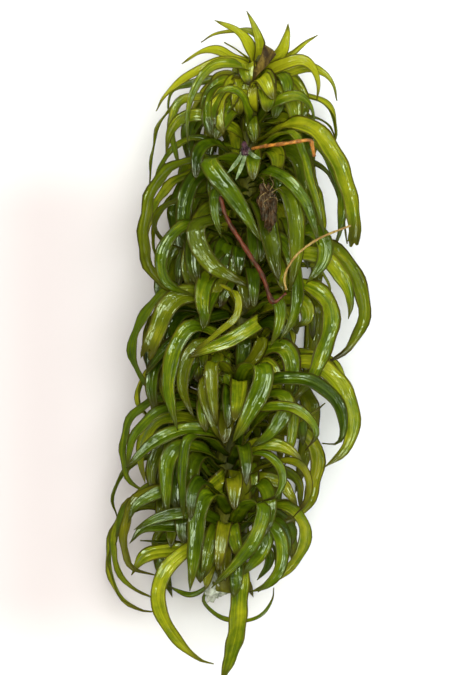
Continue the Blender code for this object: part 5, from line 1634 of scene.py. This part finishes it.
def make_leaf_group(context, group, name):
    """Model a group of leaves as one joined piece on the stem."""
    settings = context.scene.waterweed_leaves
    chance = random.Random(LEAF_SEEDS[group])
    blank = make_leaf_blank(settings)
    blades = [lay_leaf(blank, place, settings, chance) for place in LEAF_PLACES[group]]
    bpy.data.objects.remove(blank)
    piece = join_pieces(blades, name)
    thicken(piece, settings)
    finish_piece(piece, ["stem_with_young_leaves"], wet_leaf())


class WATERWEED_OT_young_leaves(bpy.types.Operator):
    """Model the young leaves of the tip and the smaller leaves"""

    bl_idname = "waterweed.young_leaves"
    bl_label = "Young Leaves"

    def execute(self, context):
        make_leaf_group(context, "young", "young_leaves")
        return {"FINISHED"}


class WATERWEED_OT_floor_leaves(bpy.types.Operator):
    """Model the leaves pressed flat on the surface"""

    bl_idname = "waterweed.floor_leaves"
    bl_label = "Floor Leaves"

    def execute(self, context):
        make_leaf_group(context, "floor", "floor_leaves")
        return {"FINISHED"}


class WATERWEED_OT_inner_leaves(bpy.types.Operator):
    """Model the inner leaves round the stem"""

    bl_idname = "waterweed.inner_leaves"
    bl_label = "Inner Leaves"

    def execute(self, context):
        make_leaf_group(context, "inner", "inner_leaves")
        make_leaf_group(context, "extra", "extra_inner_leaves")
        return {"FINISHED"}


class WATERWEED_OT_stalks(bpy.types.Operator):
    """Model the thread-like stalks of the spent flowers"""

    bl_idname = "waterweed.stalks"
    bl_label = "Flower Stalks"

    def execute(self, context):
        for name, slot, thickness, base, dark, points in STALKS:

            def radius(t):
                knots = uneven(t, STALK_SWELLS)
                if name == KNOBBED_STALK:
                    past_knob = (t - KNOB_PLACE) / KNOB_LENGTH
                    knots += KNOB_SWELL * math.exp(-past_knob ** 2)
                    knots *= 1.0 - KNOB_THINNING * min(1.0, max(0.0, past_knob))
                return thickness * STALK_SLIMNESS * MM * knots * min(1.0, STALK_ROOT_SHARE + t)

            stalk = make_tube(name + "_thread", points, radius, *STALK_MESH)
            finish_piece(stalk, [name], speckled_material(name + "_skin", base, dark, *STALK_SKIN))
        return {"FINISHED"}


class WATERWEED_OT_spent_flower(bpy.types.Operator):
    """Model the knot of the spent flower with its pale strips"""

    bl_idname = "waterweed.spent_flower"
    bl_label = "Spent Flower"

    def execute(self, context):
        settings = context.scene.waterweed_leaves
        chance = random.Random(STRIP_SEED)
        knot = make_lump("spent_flower_knot", FLOWER_PLACE, FLOWER_HALF_SIZE, lobes=3, roughness=0.25)
        dark = speckled_material("spent_flower_skin", *KNOT_SKIN)
        finish_piece(knot, ["spent_flower"], dark)
        blank = make_leaf_blank(settings)
        blades = []
        for i, strip in enumerate(FLOWER_STRIPS):
            row = (f"flower_strip_{i + 1}", "p", FLOWER_STRIP_WIDTH, 0, FLOWER_PLACE[1], strip)
            route = smooth_route(in_metres(strip), settings.steps)
            blades.append(lay_blade(blank, row, route, settings, chance))
        bpy.data.objects.remove(blank)
        strips = join_pieces(blades, "spent_flower_strips")
        thicken(strips, settings)
        pale = speckled_material("pale_strip_skin", *STRIP_SKIN)
        finish_piece(strips, ["spent_flower"], pale)
        return {"FINISHED"}


class WATERWEED_OT_dead_matter(bpy.types.Operator):
    """Model the brown lump on the leaves with its threads, and the pale lump on the cut end"""

    bl_idname = "waterweed.dead_matter"
    bl_label = "Dead Matter"

    def execute(self, context):
        brown = make_lump(
            "brown_lump", BROWN_PLACE, BROWN_HALF_SIZE, lobes=2, roughness=0.45, taper=BROWN_TAPER
        )
        skin = speckled_material("brown_lump_skin", *BROWN_SKIN)
        finish_piece(brown, ["brown_matter"], skin)

        def radius(t):
            return BROWN_THREAD_RADIUS * MM * (BROWN_THREAD_ROOT - t)

        threads = []
        for i, route in enumerate(BROWN_THREADS):
            threads.append(make_tube(f"brown_thread_{i + 1}", route, radius, *THREAD_MESH))
        straw = speckled_material("brown_thread_skin", *THREAD_SKIN)
        finish_piece(join_pieces(threads, "brown_threads"), ["brown_matter"], straw)
        pale = make_lump("pale_lump", PALE_PLACE, PALE_HALF_SIZE, lobes=3, roughness=0.3)
        clear = speckled_material("pale_lump_skin", *PALE_SKIN)
        finish_piece(pale, ["stem_with_young_leaves"], clear)
        return {"FINISHED"}


# The studio
def make_paper(settings):
    """The sheet of white paper, with painted shade darkening it to the left of the shoot."""
    deselect_all()
    bpy.ops.mesh.primitive_plane_add(size=PAPER_SIZE, location=(0.0, 0.0, -PAPER_DEPTH))
    paper = bpy.context.object
    paper.name = "paper"
    bpy.ops.object.transform_apply(location=True, rotation=True, scale=True)
    material, tree, shader = new_material("white_paper")
    x, y = add_split(tree, tree.nodes.new("ShaderNodeTexCoord").outputs["Object"])[:2]
    # Painted shade: how far the darker colour covers the paper left of the shoot, fading out towards the
    # middle of the shoot, the far left, the top and the bottom
    shade = add_chain(
        tree, "MULTIPLY",
        add_range(tree, x, *PAPER_LEFT),
        add_range(tree, x, *PAPER_RIGHT),
        add_range(tree, y, *PAPER_TOP),
        add_range(tree, y, *PAPER_BOTTOM),
    )
    set_inputs(
        tree, shader, Base_Color=add_mix(tree, shade, tuple(settings.paper), tuple(settings.painted_shade_paper)),
        Roughness=PAPER_ROUGHNESS, Specular_IOR_Level=PAPER_SPECULAR,
    )
    paper.data.materials.append(material)


def add_area_light(name, power, colour, place, size):
    """A square soft light aimed at the shoot."""
    lamp = bpy.data.lights.new(name, "AREA")
    lamp.energy = power
    lamp.color = colour
    lamp.size = size
    lamp_object = bpy.data.objects.new(name, lamp)
    bpy.context.scene.collection.objects.link(lamp_object)
    lamp_object.location = place
    lamp_object.rotation_euler = (-Vector(place)).to_track_quat("-Z", "Y").to_euler()
    return lamp_object


def make_world():
    """A soft light from all round that wet leaves hardly mirror."""
    world = bpy.data.worlds.new("studio")
    world.use_nodes = True
    tree = world.node_tree
    path = tree.nodes.new("ShaderNodeLightPath")
    soft = add_mix(tree, path.outputs["Is Glossy Ray"], SKY_LIGHT, SKY_MIRRORED)
    bright = add_mix(tree, path.outputs["Is Camera Ray"], soft, SKY_SEEN)
    set_inputs(tree, tree.nodes["Background"], Color=bright)
    return world


def make_camera(distance):
    """The camera, straight above the shoot."""
    camera = bpy.data.cameras.new("camera")
    camera.sensor_fit = "AUTO"
    camera.sensor_width = CAMERA_SENSOR
    camera.lens = CAMERA_SENSOR * (distance - CAMERA_FOCUS_HEIGHT) / CAMERA_VIEW_HEIGHT
    camera.clip_end = CAMERA_REACH
    camera_object = bpy.data.objects.new("camera", camera)
    camera_object.location = (*CAMERA_MIDDLE, distance)
    bpy.context.scene.collection.objects.link(camera_object)
    return camera_object


class WATERWEED_OT_stage(bpy.types.Operator):
    """Set up the paper, the lights and the camera"""

    bl_idname = "waterweed.stage"
    bl_label = "Studio"

    def execute(self, context):
        settings = context.scene.waterweed_stage
        make_paper(settings)
        for name, setting, colour, place, size in LIGHTS:
            lamp = add_area_light(name, getattr(settings, setting), colour, place, size)
            lamp.visible_glossy = False
        for name, share, place, size in GLINT_CARDS:
            card = add_area_light(name, settings.card_power * share, GLINT_COLOUR, place, size)
            card.visible_diffuse = False
            card.visible_transmission = False
            card.visible_volume_scatter = False
        context.scene.world = make_world()
        context.scene.view_settings.view_transform = "Standard"
        context.scene.view_settings.look = "None"
        context.scene.camera = make_camera(settings.camera_distance)
        return {"FINISHED"}


class WATERWEED_PT_panel(bpy.types.Panel):
    """The steps and settings of the waterweed shoot"""

    bl_idname = "WATERWEED_PT_panel"
    bl_label = "Curly Waterweed"
    bl_space_type = "VIEW_3D"
    bl_region_type = "UI"
    bl_category = "Waterweed"

    def draw(self, context):
        layout = self.layout
        for operator in OPERATORS:
            layout.operator(operator.bl_idname)
        for settings in (
            context.scene.waterweed_leaves,
            context.scene.waterweed_colours,
            context.scene.waterweed_stage,
        ):
            box = layout.box()
            for name in settings.__annotations__:
                box.prop(settings, name)


OPERATORS = (
    WATERWEED_OT_own_leaves,
    WATERWEED_OT_stem,
    WATERWEED_OT_young_leaves,
    WATERWEED_OT_floor_leaves,
    WATERWEED_OT_inner_leaves,
    WATERWEED_OT_stalks,
    WATERWEED_OT_spent_flower,
    WATERWEED_OT_dead_matter,
    WATERWEED_OT_stage,
)
CLASSES = (
    WaterweedLeafSettings,
    WaterweedColourSettings,
    WaterweedStageSettings,
    *OPERATORS,
    WATERWEED_PT_panel,
)


def register():
    """Register the classes and put the settings on the scene."""
    for made in CLASSES:
        bpy.utils.register_class(made)
    bpy.types.Scene.waterweed_leaves = PointerProperty(type=WaterweedLeafSettings)
    bpy.types.Scene.waterweed_colours = PointerProperty(type=WaterweedColourSettings)
    bpy.types.Scene.waterweed_stage = PointerProperty(type=WaterweedStageSettings)


def unregister():
    """Take the settings and the classes away again."""
    del bpy.types.Scene.waterweed_stage
    del bpy.types.Scene.waterweed_colours
    del bpy.types.Scene.waterweed_leaves
    for made in reversed(CLASSES):
        bpy.utils.unregister_class(made)


def main():
    """Model every piece in order."""
    register()
    bpy.ops.waterweed.own_leaves()
    bpy.ops.waterweed.stem()
    bpy.ops.waterweed.young_leaves()
    bpy.ops.waterweed.floor_leaves()
    bpy.ops.waterweed.inner_leaves()
    bpy.ops.waterweed.stalks()
    bpy.ops.waterweed.spent_flower()
    bpy.ops.waterweed.dead_matter()
    bpy.ops.waterweed.stage()
    bpy.context.view_layer.update()


if __name__ == "__main__":
    main()
